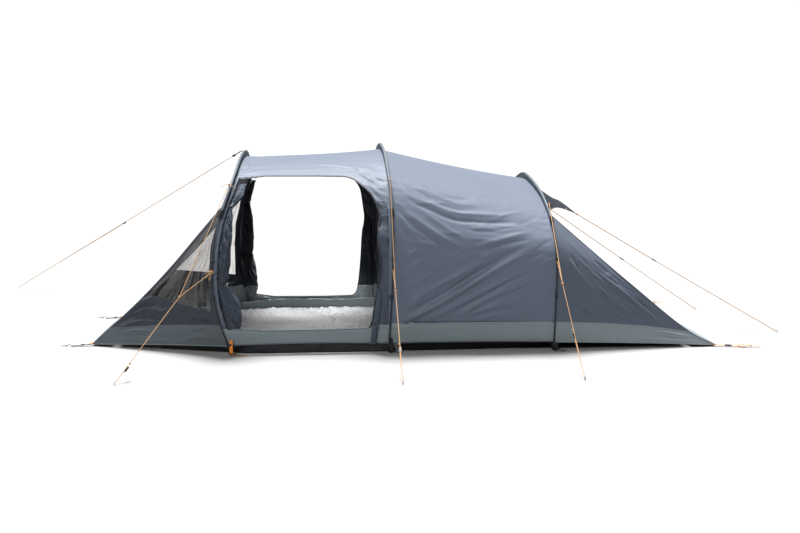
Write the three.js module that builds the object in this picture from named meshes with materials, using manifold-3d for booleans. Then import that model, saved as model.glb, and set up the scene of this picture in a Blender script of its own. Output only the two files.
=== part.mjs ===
// Three-hoop tunnel tent, pitched: outer tent, poles in sleeves, inner tent, groundsheet,
// guys and pegs.
// Millimetres, +Z up. Origin on the ground, on the centre plane, under the middle hoop.
// +X runs to the rear end, -X to the front end, -Y is the near side, +Y the far side.
// Points listed for one side only are those of the near side.
import * as THREE from 'three';
import { mergeVertices } from 'three/addons/utils/BufferGeometryUtils.js';
import Module from 'manifold-3d';

const wasm = await Module();
wasm.setup();

// ---------------------------------------------------------------- hoops: dimensions
const HOOP_STEPS = 30;
const FRONT_TOP = 1396;
const MID_TOP = 1450;
const REAR_TOP = 1222;

// Half profiles, ground to crown: [half width, height]. ARCH is scaled in height to its hoop.
const ARCH = [
  [980, 0], [1000, 100], [1045, 250], [1075, 420], [1085, 600], [1070, 780], [1030, 930],
  [950, 1080], [850, 1180], [700, 1270], [500, 1340], [250, 1385], [0, 1400],
];
const REAR_ARCH = [
  [1010, 0], [1032, 60], [1055, 213], [1070, 384], [1083, 520], [1079, 659], [1045, 770],
  [964, 868], [872, 950], [744, 1028], [598, 1096], [301, 1178], [0, REAR_TOP],
];
// Where each hoop stands along the tent: [height, x]
const FRONT_X = [
  [0, -1098], [24, -1098], [187, -1145], [324, -1180], [443, -1195], [620, -1198],
  [760, -1185], [931, -1152], [1042, -1119], [1143, -1084], [1279, -1052], [FRONT_TOP, -1038],
];
const MID_X = [
  [0, 0], [175, 3], [356, 11], [566, 20], [811, 22], [978, 20], [1158, 14], [1245, 6],
  [MID_TOP, 0],
];
const REAR_X = [[0, 1157], [500, 1159], [950, 1152], [REAR_TOP, 1140]];

// The pole is bare below sleeveEnd
const HOOPS = {
  mid: { profile: ARCH, top: MID_TOP, stations: MID_X, sleeveEnd: 950 },
  front: { profile: ARCH, top: FRONT_TOP, stations: FRONT_X, sleeveEnd: 950 },
  rear: { profile: REAR_ARCH, top: REAR_TOP, stations: REAR_X, sleeveEnd: 900 },
};

const POLE_R = 4.75;
const POLE_SIDES = 8;
const POLE_LIFT = 12;           // pole ends stand this far up the hoop line
const SOCKET_R = 3.3;           // bore in each pole end for the ring pin
const SOCKET_DEPTH = 62;
const SOCKET_OVERRUN = 5;       // the bore's cutter starts this far outside the pole
const PIN_R = 2.2;
const PIN_REACH = 52;           // length of pin inside the pole
const PIN_DROP = 8.6;           // distance from the pole end to the pin's foot
const PIN_FOOT_Z = 2.6;
const RING_R = 13;
const RING_WIRE_R = 2;
const RING_Z = 2.05;
const SLEEVE_OUTER_R = 14;
const SLEEVE_INNER_R = 12;
const SLEEVE_SIDES = 6;

// ---------------------------------------------------------------- outer tent: dimensions
const SKIN = 1.6;               // thickness of every outer tent panel
const SEAM = 4;                 // half gap between neighbouring panels at a hoop
const HEM = 62;                 // height of the outer tent's lower edge at the hoops
const FABRIC_INSET = { wall: 17, crownExtra: 23 };   // distance of the fabric inside a hoop

// Hollow of each bay midway between its hoops, and rise of its hem there
const BAY_COLUMNS = 4;
const PORCH = { sag: 13, hemLift: 8 };
const BEDROOM = { sag: 15, hemLift: 4 };
const WALL_SAG_RATIO = 0.7;     // hollow of the walls against that of the roof
const HEM_SHARE = 0.06;         // share of the hoop line over which the hem's rise fades

// Tapering ends. Ridge: crease between side panel and end panel, from the ground up, [x, y, z].
// Shoulder: height where the ridge meets its hoop. Outward: sign of X away from the tent.
const FRONT_END = {
  ridge: [[-2118, -575, 14], [-1781, -670, 318], [-1519, -780, 586], [-1310, -870, 824]],
  shoulder: 1048,
  outward: -1,
};
const REAR_END = {
  ridge: [[2361, -963, 12], [2173, -950, 106], [1721, -930, 464]],
  shoulder: 958,
  outward: 1,
};
const END_ROWS = 8;
const SIDE_PANEL = { columns: 4, hollow: 10, hemLift: 5 };
const END_PANEL = { columns: 6, sag: 22, hemLift: 34, hemInward: 20 };
const MOON_ROWS = 2;

// Openings in the side walls: [x, z]
const DOOR = [
  [-1108, 170], [-121, 170], [-102, 380], [-82, 620], [-81, 830], [-88, 960], [-102, 1042],
  [-150, 1128], [-205, 1187], [-295, 1223], [-1032, 1223], [-1056, 1143], [-1086, 1050],
  [-1128, 900], [-1158, 740], [-1169, 600], [-1168, 460], [-1156, 350], [-1132, 240],
];
const DOOR_SILL = 170;
const FAR_DOOR_SILL = 112;
const DOOR_FAR = DOOR.map(([x, z]) => [x, z === DOOR_SILL ? FAR_DOOR_SILL : z]);
const WINDOW = [
  [-1160, 975], [-1174, 900], [-1206, 760], [-1220, 585], [-1216, 306], [-1672, 388],
  [-1509, 552], [-1300, 795],
];
const WINDOW_GAP = 1;           // gap between the clear window and its opening
const CUTTER_OUTER_Y = 1300;    // the opening cutters reach from here in to the values below
const DOOR_CUTTER_Y = 450;
const WINDOW_CUTTER_Y = 640;

// ---------------------------------------------------------------- helpers: points
const SIDES = [['near', -1], ['far', 1]];   // name, sign of Y

const vector = ([x, y, z]) => new THREE.Vector3(x, y, z);
const flat = (points) => points.map(([x, y]) => new THREE.Vector2(x, y));
const lerp = (from, to, share) => from + (to - from) * share;
const mix = (from, to, share) => from.map((value, i) => lerp(value, to[i], share));
const flipY = ([x, y, ...rest]) => [x, -y, ...rest];
const toSide = (nearPoint, sign) => (sign < 0 ? nearPoint : flipY(nearPoint));
const bulge = (share) => 4 * share * (1 - share);   // 0 at both ends, 1 midway
const directionTo = (from, to) => vector(to).sub(vector(from)).normalize();
const stepFrom = (from, to, distance) =>
  vector(from).addScaledVector(directionTo(from, to), distance).toArray();

// x at a height, from rows of [height, x]
function stationX(rows, height) {
  if (height <= rows[0][0]) return rows[0][1];
  for (let i = 1; i < rows.length; i++) {
    const [low, lowX] = rows[i - 1];
    const [high, highX] = rows[i];
    if (height <= high) return lerp(lowX, highX, (height - low) / (high - low));
  }
  return rows[rows.length - 1][1];
}

// Moves every edge of a closed outline inwards
function shrink(outline, distance) {
  const count = outline.length;
  let area = 0;
  outline.forEach(([x, y], i) => {
    const [nextX, nextY] = outline[(i + 1) % count];
    area += x * nextY - nextX * y;
  });
  const turn = Math.sign(area);
  const inwardNormal = (from, to) =>
    new THREE.Vector2(-(to[1] - from[1]), to[0] - from[0]).normalize().multiplyScalar(turn);
  return outline.map((corner, i) => {
    const before = inwardNormal(outline[(i + count - 1) % count], corner);
    const after = inwardNormal(corner, outline[(i + 1) % count]);
    const miter = before.clone().add(after).normalize();
    // the lower limit keeps a sharp corner from running far inwards
    const reach = distance / Math.max(0.3, miter.dot(before));
    return [corner[0] + miter.x * reach, corner[1] + miter.y * reach];
  });
}

// ---------------------------------------------------------------- helpers: solids
// Path of straight stretches that reaches its points in equal steps of its parameter
class StepPath extends THREE.Curve {
  constructor(points) {
    super();
    this.points = points.map(vector);
  }
  getPoint(share) {
    const last = this.points.length - 1;
    const position = Math.min(Math.max(share, 0), 1) * last;
    const i = Math.min(Math.floor(position), last - 1);
    return this.points[i].clone().lerp(this.points[i + 1], position - i);
  }
  getPointAt(share) {
    return this.getPoint(share);
  }
  getTangentAt(share) {
    const last = this.points.length - 1;
    const i = Math.round(share * last);
    const stretch = (k) => this.points[k + 1].clone().sub(this.points[k]).normalize();
    const before = i > 0 ? stretch(i - 1) : new THREE.Vector3();
    const after = i < last ? stretch(i) : new THREE.Vector3();
    return before.add(after).normalize();
  }
}

function polygon(radius, sides) {
  return Array.from({ length: sides }, (_, i) => {
    const angle = 2 * Math.PI * (i + 0.5) / sides;
    return new THREE.Vector2(radius * Math.cos(angle), radius * Math.sin(angle));
  });
}
const hole = (radius, sides) => new THREE.Path(polygon(radius, sides).reverse());

function tube(points, radius, sides, boreRadius) {
  const shape = new THREE.Shape(polygon(radius, sides));
  if (boreRadius) shape.holes.push(hole(boreRadius, sides));
  return new THREE.ExtrudeGeometry(shape, {
    steps: points.length - 1, bevelEnabled: false, extrudePath: new StepPath(points),
  });
}

const extrude = (shape, depth) =>
  new THREE.ExtrudeGeometry(shape, { depth, bevelEnabled: false });
const plate = (outline, thickness) => extrude(new THREE.Shape(flat(outline)), thickness);

// Outline of [x, z] made into a block on one side of the tent, from innerY outwards
function sideBlock(outline, sign, innerY) {
  const block = plate(outline, CUTTER_OUTER_Y - innerY);
  block.rotateX(Math.PI / 2);
  block.translate(0, sign < 0 ? -innerY : CUTTER_OUTER_Y, 0);
  return block;
}

function indexed(coordinates, index) {
  const geometry = new THREE.BufferGeometry();
  geometry.setAttribute('position', new THREE.Float32BufferAttribute(coordinates, 3));
  geometry.setIndex(new THREE.BufferAttribute(new Uint32Array(index), 1));
  return geometry;
}

// Copy with positions only, its coincident vertices merged
function welded(geometry, tolerance) {
  const bare = geometry.clone();
  for (const name of Object.keys(bare.attributes)) {
    if (name !== 'position') bare.deleteAttribute(name);
  }
  return mergeVertices(bare, tolerance);
}

function solid(geometry) {
  const mesh = welded(geometry, 1e-3);
  return new wasm.Manifold(new wasm.Mesh({
    numProp: 3,
    vertProperties: new Float32Array(mesh.getAttribute('position').array),
    triVerts: new Uint32Array(mesh.getIndex().array),
  }));
}
function geometryOf(body) {
  const mesh = body.getMesh();
  return indexed(mesh.vertProperties, mesh.triVerts);
}
const cut = (body, ...tools) =>
  geometryOf(tools.reduce((rest, tool) => rest.subtract(solid(tool)), solid(body)));
const join = (body, ...others) =>
  geometryOf(others.reduce((sum, other) => sum.add(solid(other)), solid(body)));
const overlap = (body, other) => geometryOf(solid(body).intersect(solid(other)));

// Surface built from grids of points. Seen from outside, faces run counter-clockwise.
class Sheet {
  constructor() {
    this.points = [];
    this.faces = [];
    this.indexOf = new Map();
  }
  // points that agree to 0.01 are one point
  point(place) {
    const key = place.map((value) => Math.round(value * 100)).join();
    if (!this.indexOf.has(key)) {
      this.indexOf.set(key, this.points.length);
      this.points.push(place);
    }
    return this.indexOf.get(key);
  }
  face(...corners) {
    const [i, j, k] = corners.map((corner) => this.point(corner));
    if (i !== j && j !== k && i !== k) this.faces.push([i, j, k]);
  }
  grid(rows, flip = false) {
    for (let row = 0; row + 1 < rows.length; row++) {
      for (let column = 0; column + 1 < rows[row].length; column++) {
        const [start, next] = rows[row].slice(column, column + 2);
        const [above, aboveNext] = rows[row + 1].slice(column, column + 2);
        if (flip) {
          this.face(start, aboveNext, next);
          this.face(start, above, aboveNext);
        } else {
          this.face(start, next, aboveNext);
          this.face(start, aboveNext, above);
        }
      }
    }
    return this;
  }
  // closes a ring whose last point repeats its first
  cap(ring, flip) {
    for (let i = 1; i + 2 < ring.length; i++) {
      if (flip) this.face(ring[0], ring[i + 1], ring[i]);
      else this.face(ring[0], ring[i], ring[i + 1]);
    }
  }
  surface() {
    return indexed(this.points.flat(), this.faces.flat());
  }
  // the surface thickened by SKIN towards its back
  skin() {
    const normals = this.points.map(() => new THREE.Vector3());
    for (const face of this.faces) {
      const [first, second, third] = face.map((i) => vector(this.points[i]));
      const normal = second.sub(first).cross(third.sub(first));
      for (const i of face) normals[i].add(normal);
    }
    const back = this.points.map((point, i) =>
      vector(point).addScaledVector(normals[i].normalize(), -SKIN).toArray());
    const count = this.points.length;
    const index = [];
    const edges = new Map();
    for (const [i, j, k] of this.faces) {
      index.push(i, j, k, i + count, k + count, j + count);
      for (const [from, to] of [[i, j], [j, k], [k, i]]) edges.set(`${from},${to}`, [from, to]);
    }
    // an edge without its reverse is free, and gets a rim
    for (const [from, to] of edges.values()) {
      if (edges.has(`${to},${from}`)) continue;
      index.push(to, from, from + count, to, from + count, to + count);
    }
    return indexed([...this.points, ...back].flat(), index);
  }
}

// ---------------------------------------------------------------- materials
const FINISHES = {
  fly: { color: 0x4b5360, roughness: 0.72 },
  window: { color: 0xbcc4c6, roughness: 0.15, transparent: true, opacity: 0.35 },
  pole: { color: 0x20262a, roughness: 0.4 },
  sleeve: { color: 0x39424d, roughness: 0.75 },
  steel: { color: 0xb9bcbf, roughness: 0.3, metalness: 1 },
  inner: { color: 0x8b929a, roughness: 0.8 },
  floor: { color: 0x9a9c9e, roughness: 0.5 },
  line: { color: 0xd98a3c, roughness: 0.7 },
  plastic: { color: 0x17191c, roughness: 0.45 },
  webbing: { color: 0x1d2126, roughness: 0.8 },
  bundle: { color: 0x39424f, roughness: 0.78 },
};
const materials = {};
for (const [name, finish] of Object.entries(FINISHES)) {
  materials[name] = new THREE.MeshStandardMaterial({ metalness: 0, ...finish });
}

const tent = new THREE.Group();
function put(name, geometry, materialName) {
  const merged = welded(geometry, 1e-4);
  merged.computeVertexNormals();
  const mesh = new THREE.Mesh(merged, materials[materialName]);
  mesh.name = name;
  tent.add(mesh);
}

// ---------------------------------------------------------------- hoops
// Evenly spaced points along a hoop, from the near foot to the far foot
function hoopLine({ profile, top, stations }) {
  const scale = top / profile[profile.length - 1][1];
  const nearHalf = profile.map(([halfWidth, height]) =>
    [stationX(stations, height * scale), -halfWidth, height * scale]);
  const farHalf = nearHalf.slice(0, -1).reverse().map(flipY);
  const curve = new THREE.CatmullRomCurve3(
    [...nearHalf, ...farHalf].map(vector), false, 'centripetal');
  curve.arcLengthDivisions = 800;
  return curve.getSpacedPoints(HOOP_STEPS).map((point) => point.toArray());
}
const hoopLines = {};
for (const [name, hoop] of Object.entries(HOOPS)) hoopLines[name] = hoopLine(hoop);

// Point off the near side of a hoop at a height; a positive gap lies outside the hoop
function beside(name, height, gap) {
  const line = hoopLines[name];
  const i = line.findIndex((point, k) => k > 0 && point[2] >= height);
  const [low, high] = [line[i - 1], line[i]];
  const [x, y, z] = mix(low, high, (height - low[2]) / (high[2] - low[2]));
  const along = new THREE.Vector2(high[1] - low[1], high[2] - low[2]).normalize();
  return [x, y - along.y * gap, z + along.x * gap];
}

function addPole(name) {
  const line = [...hoopLines[name]];
  const last = line.length - 1;
  line[0] = stepFrom(line[0], line[1], POLE_LIFT);
  line[last] = stepFrom(line[last], line[last - 1], POLE_LIFT);
  const ends = [[line[0], line[1]], [line[last], line[last - 1]]];
  const sockets = ends.map(([end, next]) => tube(
    [stepFrom(end, next, -SOCKET_OVERRUN), stepFrom(end, next, SOCKET_DEPTH)],
    SOCKET_R, POLE_SIDES));
  put(`${name}_pole`, cut(tube(line, POLE_R, POLE_SIDES), ...sockets), 'pole');
  SIDES.forEach(([side, sign], i) => addRingPin(`${name}_pin_${side}`, ...ends[i], sign));
}

// Pin in the pole end, with a ring lying on the ground outside its foot
function addRingPin(name, end, next, sign) {
  const [x, y] = stepFrom(end, next, -PIN_DROP);
  const ring = new THREE.TorusGeometry(RING_R, RING_WIRE_R, 5, 10);
  ring.translate(x, y + sign * RING_R, RING_Z);
  const pin = tube([[x, y, PIN_FOOT_Z], stepFrom(end, next, PIN_REACH)], PIN_R, POLE_SIDES);
  put(name, join(ring, pin), 'steel');
}

for (const [name, { sleeveEnd }] of Object.entries(HOOPS)) {
  addPole(name);
  const covered = hoopLines[name].filter(([, , z]) => z >= sleeveEnd);
  const sleeve = tube(covered, SLEEVE_OUTER_R, SLEEVE_SIDES, SLEEVE_INNER_R);
  put(`${name}_sleeve`, sleeve, 'sleeve');
}

// ---------------------------------------------------------------- outer tent between the hoops
// Hoop line moved inwards, more at the crown than at the walls, and along X
function fabricLine(name, shiftX) {
  const line = hoopLines[name];
  const last = line.length - 1;
  return line.map(([x, y, z], i) => {
    const before = line[Math.max(0, i - 1)];
    const after = line[Math.min(last, i + 1)];
    const along = new THREE.Vector2(after[1] - before[1], after[2] - before[2]).normalize();
    const crown = Math.pow(Math.sin(Math.PI * (i / last)), 4);
    const inset = FABRIC_INSET.wall + FABRIC_INSET.crownExtra * crown;
    return [x + shiftX, y + along.y * inset, Math.max(HEM, z - along.x * inset)];
  });
}

function bay(frontLine, rearLine, { sag, hemLift }) {
  const rows = frontLine.map((start, i) => {
    const around = i / (frontLine.length - 1);
    const crown = Math.sin(Math.PI * around);
    const hem = 1 - Math.min(1, Math.min(around, 1 - around) / HEM_SHARE);
    return Array.from({ length: BAY_COLUMNS + 1 }, (_, j) => {
      const share = j / BAY_COLUMNS;
      const middle = bulge(share);
      const [x, y, z] = mix(start, rearLine[i], share);
      const inward = sag * WALL_SAG_RATIO * middle * (1 - crown * crown);
      const rise = hemLift * middle * hem - sag * middle * crown * crown;
      return [x, y - Math.sign(y) * inward, z + rise];
    });
  });
  return new Sheet().grid(rows, true).skin();
}

const porch = bay(fabricLine('front', SEAM), fabricLine('mid', -SEAM), PORCH);
const doorCutters = [sideBlock(DOOR, -1, DOOR_CUTTER_Y), sideBlock(DOOR_FAR, 1, DOOR_CUTTER_Y)];
put('fly_porch', cut(porch, ...doorCutters), 'fly');
put('fly_bedroom', bay(fabricLine('mid', SEAM), fabricLine('rear', -SEAM), BEDROOM), 'fly');

// ---------------------------------------------------------------- tapering ends
// Near side panel, rows from the hem to the shoulder, each from the hoop out to the ridge
function sidePanel(hoopEdge, ridge) {
  const { columns, hollow, hemLift } = SIDE_PANEL;
  return Array.from({ length: END_ROWS + 1 }, (_, j) => {
    const up = j / END_ROWS;
    const inner = hoopEdge.getPoint(up).toArray();
    const outer = ridge.getPointAt(up).toArray();
    return Array.from({ length: columns + 1 }, (_, i) => {
      const middle = bulge(i / columns);
      const [x, y, z] = mix(inner, outer, i / columns);
      const lift = j === 0 ? hemLift * middle : 0;
      return [x, y + hollow * middle * Math.sin(Math.PI * up), z + lift];
    });
  });
}

// Panel between the two ridges, rows from the hem to the shoulder, each from near to far
function endPanel(ridgePoints, outward) {
  const { columns, sag, hemLift, hemInward } = END_PANEL;
  return ridgePoints.map((ridgePoint, j) =>
    Array.from({ length: columns + 1 }, (_, i) => {
      const middle = bulge(i / columns);
      const point = mix(ridgePoint, flipY(ridgePoint), i / columns);
      point[2] -= sag * middle * Math.sin(Math.PI * j / END_ROWS);
      if (j === 0) {
        point[2] += hemLift * middle;
        point[0] -= outward * hemInward * middle;
      }
      return point;
    }));
}

function taperingEnd(line, { ridge, shoulder, outward }) {
  const above = line.findIndex((point, k) => k > 0 && point[2] >= shoulder);
  const [low, high] = [line[above - 1], line[above]];
  const top = mix(low, high, (shoulder - low[2]) / (high[2] - low[2]));
  const hoopEdge = new StepPath([...line.slice(0, above), top]);
  const ridgeCurve = new THREE.CatmullRomCurve3(
    [...ridge, top].map(vector), false, 'centripetal');
  const side = sidePanel(hoopEdge, ridgeCurve);
  const end = endPanel(side.map((row) => row[SIDE_PANEL.columns]), outward);

  // half-moon panel from the shoulder line up to the crown of the hoop
  const crown = new StepPath([top, ...line.slice(above, line.length - above), flipY(top)]);
  const moon = Array.from({ length: MOON_ROWS + 1 }, (_, j) =>
    end[END_ROWS].map((point, i) =>
      mix(point, crown.getPoint(i / END_PANEL.columns).toArray(), j / MOON_ROWS)));

  return new Sheet()
    .grid(side, outward < 0)
    .grid(side.map((row) => row.map(flipY)), outward > 0)
    .grid(end, outward < 0)
    .grid(moon, outward < 0)
    .skin();
}

const frontEnd = taperingEnd(fabricLine('front', -SEAM), FRONT_END);
const windowCutters = SIDES.map(([, sign]) => sideBlock(WINDOW, sign, WINDOW_CUTTER_Y));
put('fly_front_end', cut(frontEnd, ...windowCutters), 'fly');
for (const [side, sign] of SIDES) {
  const pane = sideBlock(shrink(WINDOW, WINDOW_GAP), sign, WINDOW_CUTTER_Y);
  put(`window_${side}`, overlap(frontEnd, pane), 'window');
}
put('fly_rear_end', taperingEnd(fabricLine('rear', SEAM), REAR_END), 'fly');

// ---------------------------------------------------------------- vent hood behind the rear hoop
const HOOD_FOOT_Z = 985;        // the hood is joined to the hoop above this height
const HOOD_SEAM = { shiftX: 19, drop: 3, crownDrop: 55 };
const HOOD_TIPS = { near: [1440, -452, 934], far: [1452, 452, 918] };
// Bow of the free edge's stretches: rise, and inset towards the hoop
const HOOD_SIDE_BOW = { rise: 26, inset: 22 };
const HOOD_MIDDLE_BOW = { rise: 92, inset: 62 };
const HOOD_SAG = 5;
const HOOD_COLUMNS = 3;

function bowed(from, to, share, { rise, inset }) {
  const [x, y, z] = mix(from, to, share);
  const bow = Math.sin(Math.PI * share);
  return [x - inset * bow, y, z + rise * bow];
}

function ventHood() {
  const covered = hoopLines.rear.filter(([, , z]) => z > HOOD_FOOT_Z);
  const last = covered.length - 1;
  const seam = covered.map(([x, y, z], i) => {
    const crown = Math.pow(Math.sin(Math.PI * i / last), 2);
    return [x + HOOD_SEAM.shiftX, y, z - HOOD_SEAM.drop - HOOD_SEAM.crownDrop * crown];
  });
  // the tips stand a quarter of the way in from each end of the free edge
  const freeEdge = (share) => {
    const { near, far } = HOOD_TIPS;
    if (share < 0.25) return bowed(seam[0], near, share / 0.25, HOOD_SIDE_BOW);
    if (share <= 0.75) return bowed(near, far, (share - 0.25) / 0.5, HOOD_MIDDLE_BOW);
    return bowed(far, seam[last], (share - 0.75) / 0.25, HOOD_SIDE_BOW);
  };
  const rows = seam.map((start, i) => Array.from({ length: HOOD_COLUMNS + 1 }, (_, j) => {
    const share = j / HOOD_COLUMNS;
    const [x, y, z] = mix(start, freeEdge(i / last), share);
    return [x, y, z - HOOD_SAG * Math.sin(Math.PI * share) * Math.sin(Math.PI * i / last)];
  }));
  return new Sheet().grid(rows, true).skin();
}
put('vent_hood', ventHood(), 'fly');

// ---------------------------------------------------------------- doors, gathered along the front hoop
// [height, x next to the hoop, x of the free edge, half the depth, distance inside the hoop]
const DOOR_CLOTH = {
  near: [
    [1196, -1034, -990, 10, 52], [1138, -1062, -996, 14, 50], [1085, -1080, -1033, 16, 46],
    [1029, -1100, -1070, 14, 42], [966, -1118, -1064, 24, 36], [866, -1142, -1067, 30, 32],
    [767, -1160, -1075, 32, 32], [652, -1172, -1080, 32, 32], [543, -1174, -1091, 26, 32],
    [502, -1174, -1109, 18, 32], [453, -1172, -1068, 26, 32], [389, -1164, -1036, 34, 32],
    [318, -1154, -1021, 38, 32], [239, -1134, -1015, 34, 32], [173, -1116, -1023, 26, 32],
    [106, -1100, -1060, 16, 32], [62, -1092, -1080, 8, 32],
  ],
  far: [
    [1164, -1058, -1024, 10, 52], [1058, -1090, -1053, 18, 44], [960, -1118, -1076, 14, 36],
    [862, -1142, -1063, 28, 32], [745, -1162, -1053, 32, 32], [567, -1174, -1053, 30, 32],
    [461, -1172, -1064, 16, 32], [391, -1164, -1042, 28, 32], [286, -1146, -1029, 32, 32],
    [174, -1116, -1021, 30, 32], [89, -1096, -1040, 18, 32], [50, -1088, -1072, 8, 32],
  ],
};
const BUNDLE_SIDES = 10;

function doorBundle(stations, sign) {
  const rings = stations.map(([height, hoopX, freeX, halfDepth, inside]) => {
    const onHoop = beside('front', height, 0);
    const [, y, z] = beside('front', height, -(inside + halfDepth));
    const outward = vector([0, onHoop[1] - y, onHoop[2] - z]).normalize();
    return Array.from({ length: BUNDLE_SIDES + 1 }, (_, i) => {
      const angle = 2 * Math.PI * (i % BUNDLE_SIDES) / BUNDLE_SIDES;
      const depth = halfDepth * Math.sin(angle);
      const x = (hoopX + freeX) / 2 + (freeX - hoopX) / 2 * Math.cos(angle);
      return toSide([x, y + outward.y * depth, z + outward.z * depth], sign);
    });
  });
  const sheet = new Sheet().grid(rings, sign > 0);
  sheet.cap(rings[0], sign < 0);
  sheet.cap(rings[rings.length - 1], sign > 0);
  return sheet.surface();
}
for (const [side, sign] of SIDES) {
  put(`door_${side}_rolled`, doorBundle(DOOR_CLOTH[side], sign), 'bundle');
}

// ---------------------------------------------------------------- inner tent
// Cross sections: [x, half width, height]
const INNER_SECTIONS = [
  [85, 930, 1300], [600, 920, 1195], [1080, 895, 985], [1150, 880, 870], [1320, 850, 690],
  [1640, 790, 380], [2040, 740, 90],
];
const INNER_BASE_Z = 5;
const INNER_WALL = 3;
const INNER_ARC_STEPS = 12;
const WIDTH_POWER = 0.62;       // these two powers square off the arc of each section
const HEIGHT_POWER = 0.8;
const DOORWAY = [               // [y, z]
  [-520, 120], [520, 120], [560, 620], [420, 1000], [0, 1120], [-420, 1000], [-560, 620],
];
const DOORWAY_DEPTH = 200;

// Solid through all sections, every face moved inwards by inset
function innerBody(inset) {
  const last = INNER_SECTIONS.length - 1;
  const count = INNER_ARC_STEPS + 1;
  const points = INNER_SECTIONS.flatMap(([x, halfWidth, height], section) => {
    const shiftX = section === 0 ? inset : section === last ? -inset : 0;
    return Array.from({ length: count }, (_, i) => {
      const angle = Math.PI * i / INNER_ARC_STEPS;
      const across = Math.cos(angle);
      const width = Math.sign(across) * Math.pow(Math.abs(across), WIDTH_POWER);
      const rise = Math.pow(Math.sin(angle), HEIGHT_POWER);
      return [x + shiftX, -(halfWidth - inset) * width,
        INNER_BASE_Z + inset + (height - INNER_BASE_Z - 2 * inset) * rise];
    });
  });
  const index = [];
  for (let section = 0; section < last; section++) {
    for (let i = 0; i < count; i++) {
      const here = section * count + i;
      const next = section * count + (i + 1) % count;
      index.push(here, here + count, next, next, here + count, next + count);
    }
  }
  const rear = last * count;
  for (let i = 1; i + 1 < count; i++) {
    index.push(0, i, i + 1);
    index.push(rear, rear + i + 1, rear + i);
  }
  return indexed(points.flat(), index);
}

function innerTent() {
  const doorway = plate(DOORWAY, DOORWAY_DEPTH);
  // turns the outline's axes to Y and Z, and its depth to X, through the front wall
  doorway.applyMatrix4(new THREE.Matrix4().set(
    0, 0, 1, 0,
    1, 0, 0, 0,
    0, 1, 0, 0,
    0, 0, 0, 1));
  return cut(innerBody(0), innerBody(INNER_WALL), doorway);
}
put('inner_tent', innerTent(), 'inner');

// ---------------------------------------------------------------- porch groundsheet
// It runs forward under the tapering front end: [x, y]
const GROUNDSHEET = [
  [35, -915], [35, 915], [-960, 915], [-1060, 870], [-1580, 680], [-1580, -680],
  [-1060, -870], [-960, -915],
];
const GROUNDSHEET_THICKNESS = 1.6;
put('porch_groundsheet', plate(GROUNDSHEET, GROUNDSHEET_THICKNESS), 'floor');

// ---------------------------------------------------------------- guys, runners and pegs
const HOLD_Z = 6;               // height at which pegs hold lines and straps
const LINE_R = 1.5;
const LINE_SIDES = 6;
const LINE_PEG_GAP = 3;         // lines stop this far short of the hold point
const UPPER_GUY_GAP = 45;       // upper end of a side guy, off the hoop line
const LOWER_GUY_GAP = POLE_R + 3;
const BRANCH_OVERRUN = 1;       // both overruns make the lines overlap at the junction
const STEM_OVERRUN = 1.2;

// Y-shaped side guys: heights of both ends on the hoop, junction, peg, and the runner's share
// of the way to the peg
const SIDE_GUYS = {
  front: {
    upper: 1140, lower: 586, junction: [-1384, -1320, 462], peg: [-1712, -1787, HOLD_Z], run: 0.84,
  },
  mid: { upper: 1170, lower: 587, junction: [19, -1316, 483], peg: [16, -1918, HOLD_Z], run: 0.652 },
  rear: {
    upper: 985, lower: 630, junction: [1103, -1450, 540], peg: [1141, -1896, HOLD_Z], run: 0.566,
  },
};
const hoodGuyStart = ([x, y, z]) => [x + 14, y, z - 10];   // just behind and below a hood tip
const SINGLE_GUYS = {
  front_top: { start: [-1068, 28, 1398], peg: [-3524, 2521, HOLD_Z], run: 0.46 },
  hood_near: { start: hoodGuyStart(HOOD_TIPS.near), peg: [3028, -496, HOLD_Z], run: 0.381 },
  hood_far: { start: hoodGuyStart(HOOD_TIPS.far), peg: [2812, 613, HOLD_Z], run: 0.485 },
};

const RUNNER = { width: 16, height: 7.6, length: 36, boreRadius: 2.7, boreSides: 6 };
const PEG_R = 2.4;
const PEG_SIDES = 6;
// Wire peg with an open hook: [distance beyond the hold point, z]
const PEG_PROFILE = [[5, -165], [5, 2], [3, 12], [7, 19], [15, 19], [19, 12], [19, 4]];

const cord = (from, to) => tube([from, to], LINE_R, LINE_SIDES);

function runner(from, to, share) {
  const [x, y] = [RUNNER.width / 2, RUNNER.height / 2];
  const shape = new THREE.Shape(flat([[-x, -y], [x, -y], [x, y], [-x, y]]));
  shape.holes.push(hole(RUNNER.boreRadius, RUNNER.boreSides));
  const body = extrude(shape, RUNNER.length);
  body.translate(0, 0, -RUNNER.length / 2);
  const along = directionTo(from, to);
  const across = new THREE.Vector3().crossVectors(new THREE.Vector3(0, 0, 1), along).normalize();
  const up = new THREE.Vector3().crossVectors(along, across);
  body.applyMatrix4(new THREE.Matrix4().makeBasis(across, up, along));
  body.translate(...mix(from, to, share));
  return body;
}

// The hook opens away from the line or strap that comes from `from`
function peg(hold, from) {
  const away = vector(hold).sub(vector(from)).setZ(0).normalize();
  const wire = PEG_PROFILE.map(([beyond, z]) =>
    [hold[0] + away.x * beyond, hold[1] + away.y * beyond, z]);
  return tube(wire, PEG_R, PEG_SIDES);
}

function addGuy(name, line, from, hold, run) {
  put(`guy_${name}`, line, 'line');
  put(`runner_${name}`, runner(from, hold, run), 'plastic');
  put(`peg_${name}`, peg(hold, from), 'steel');
}

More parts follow.
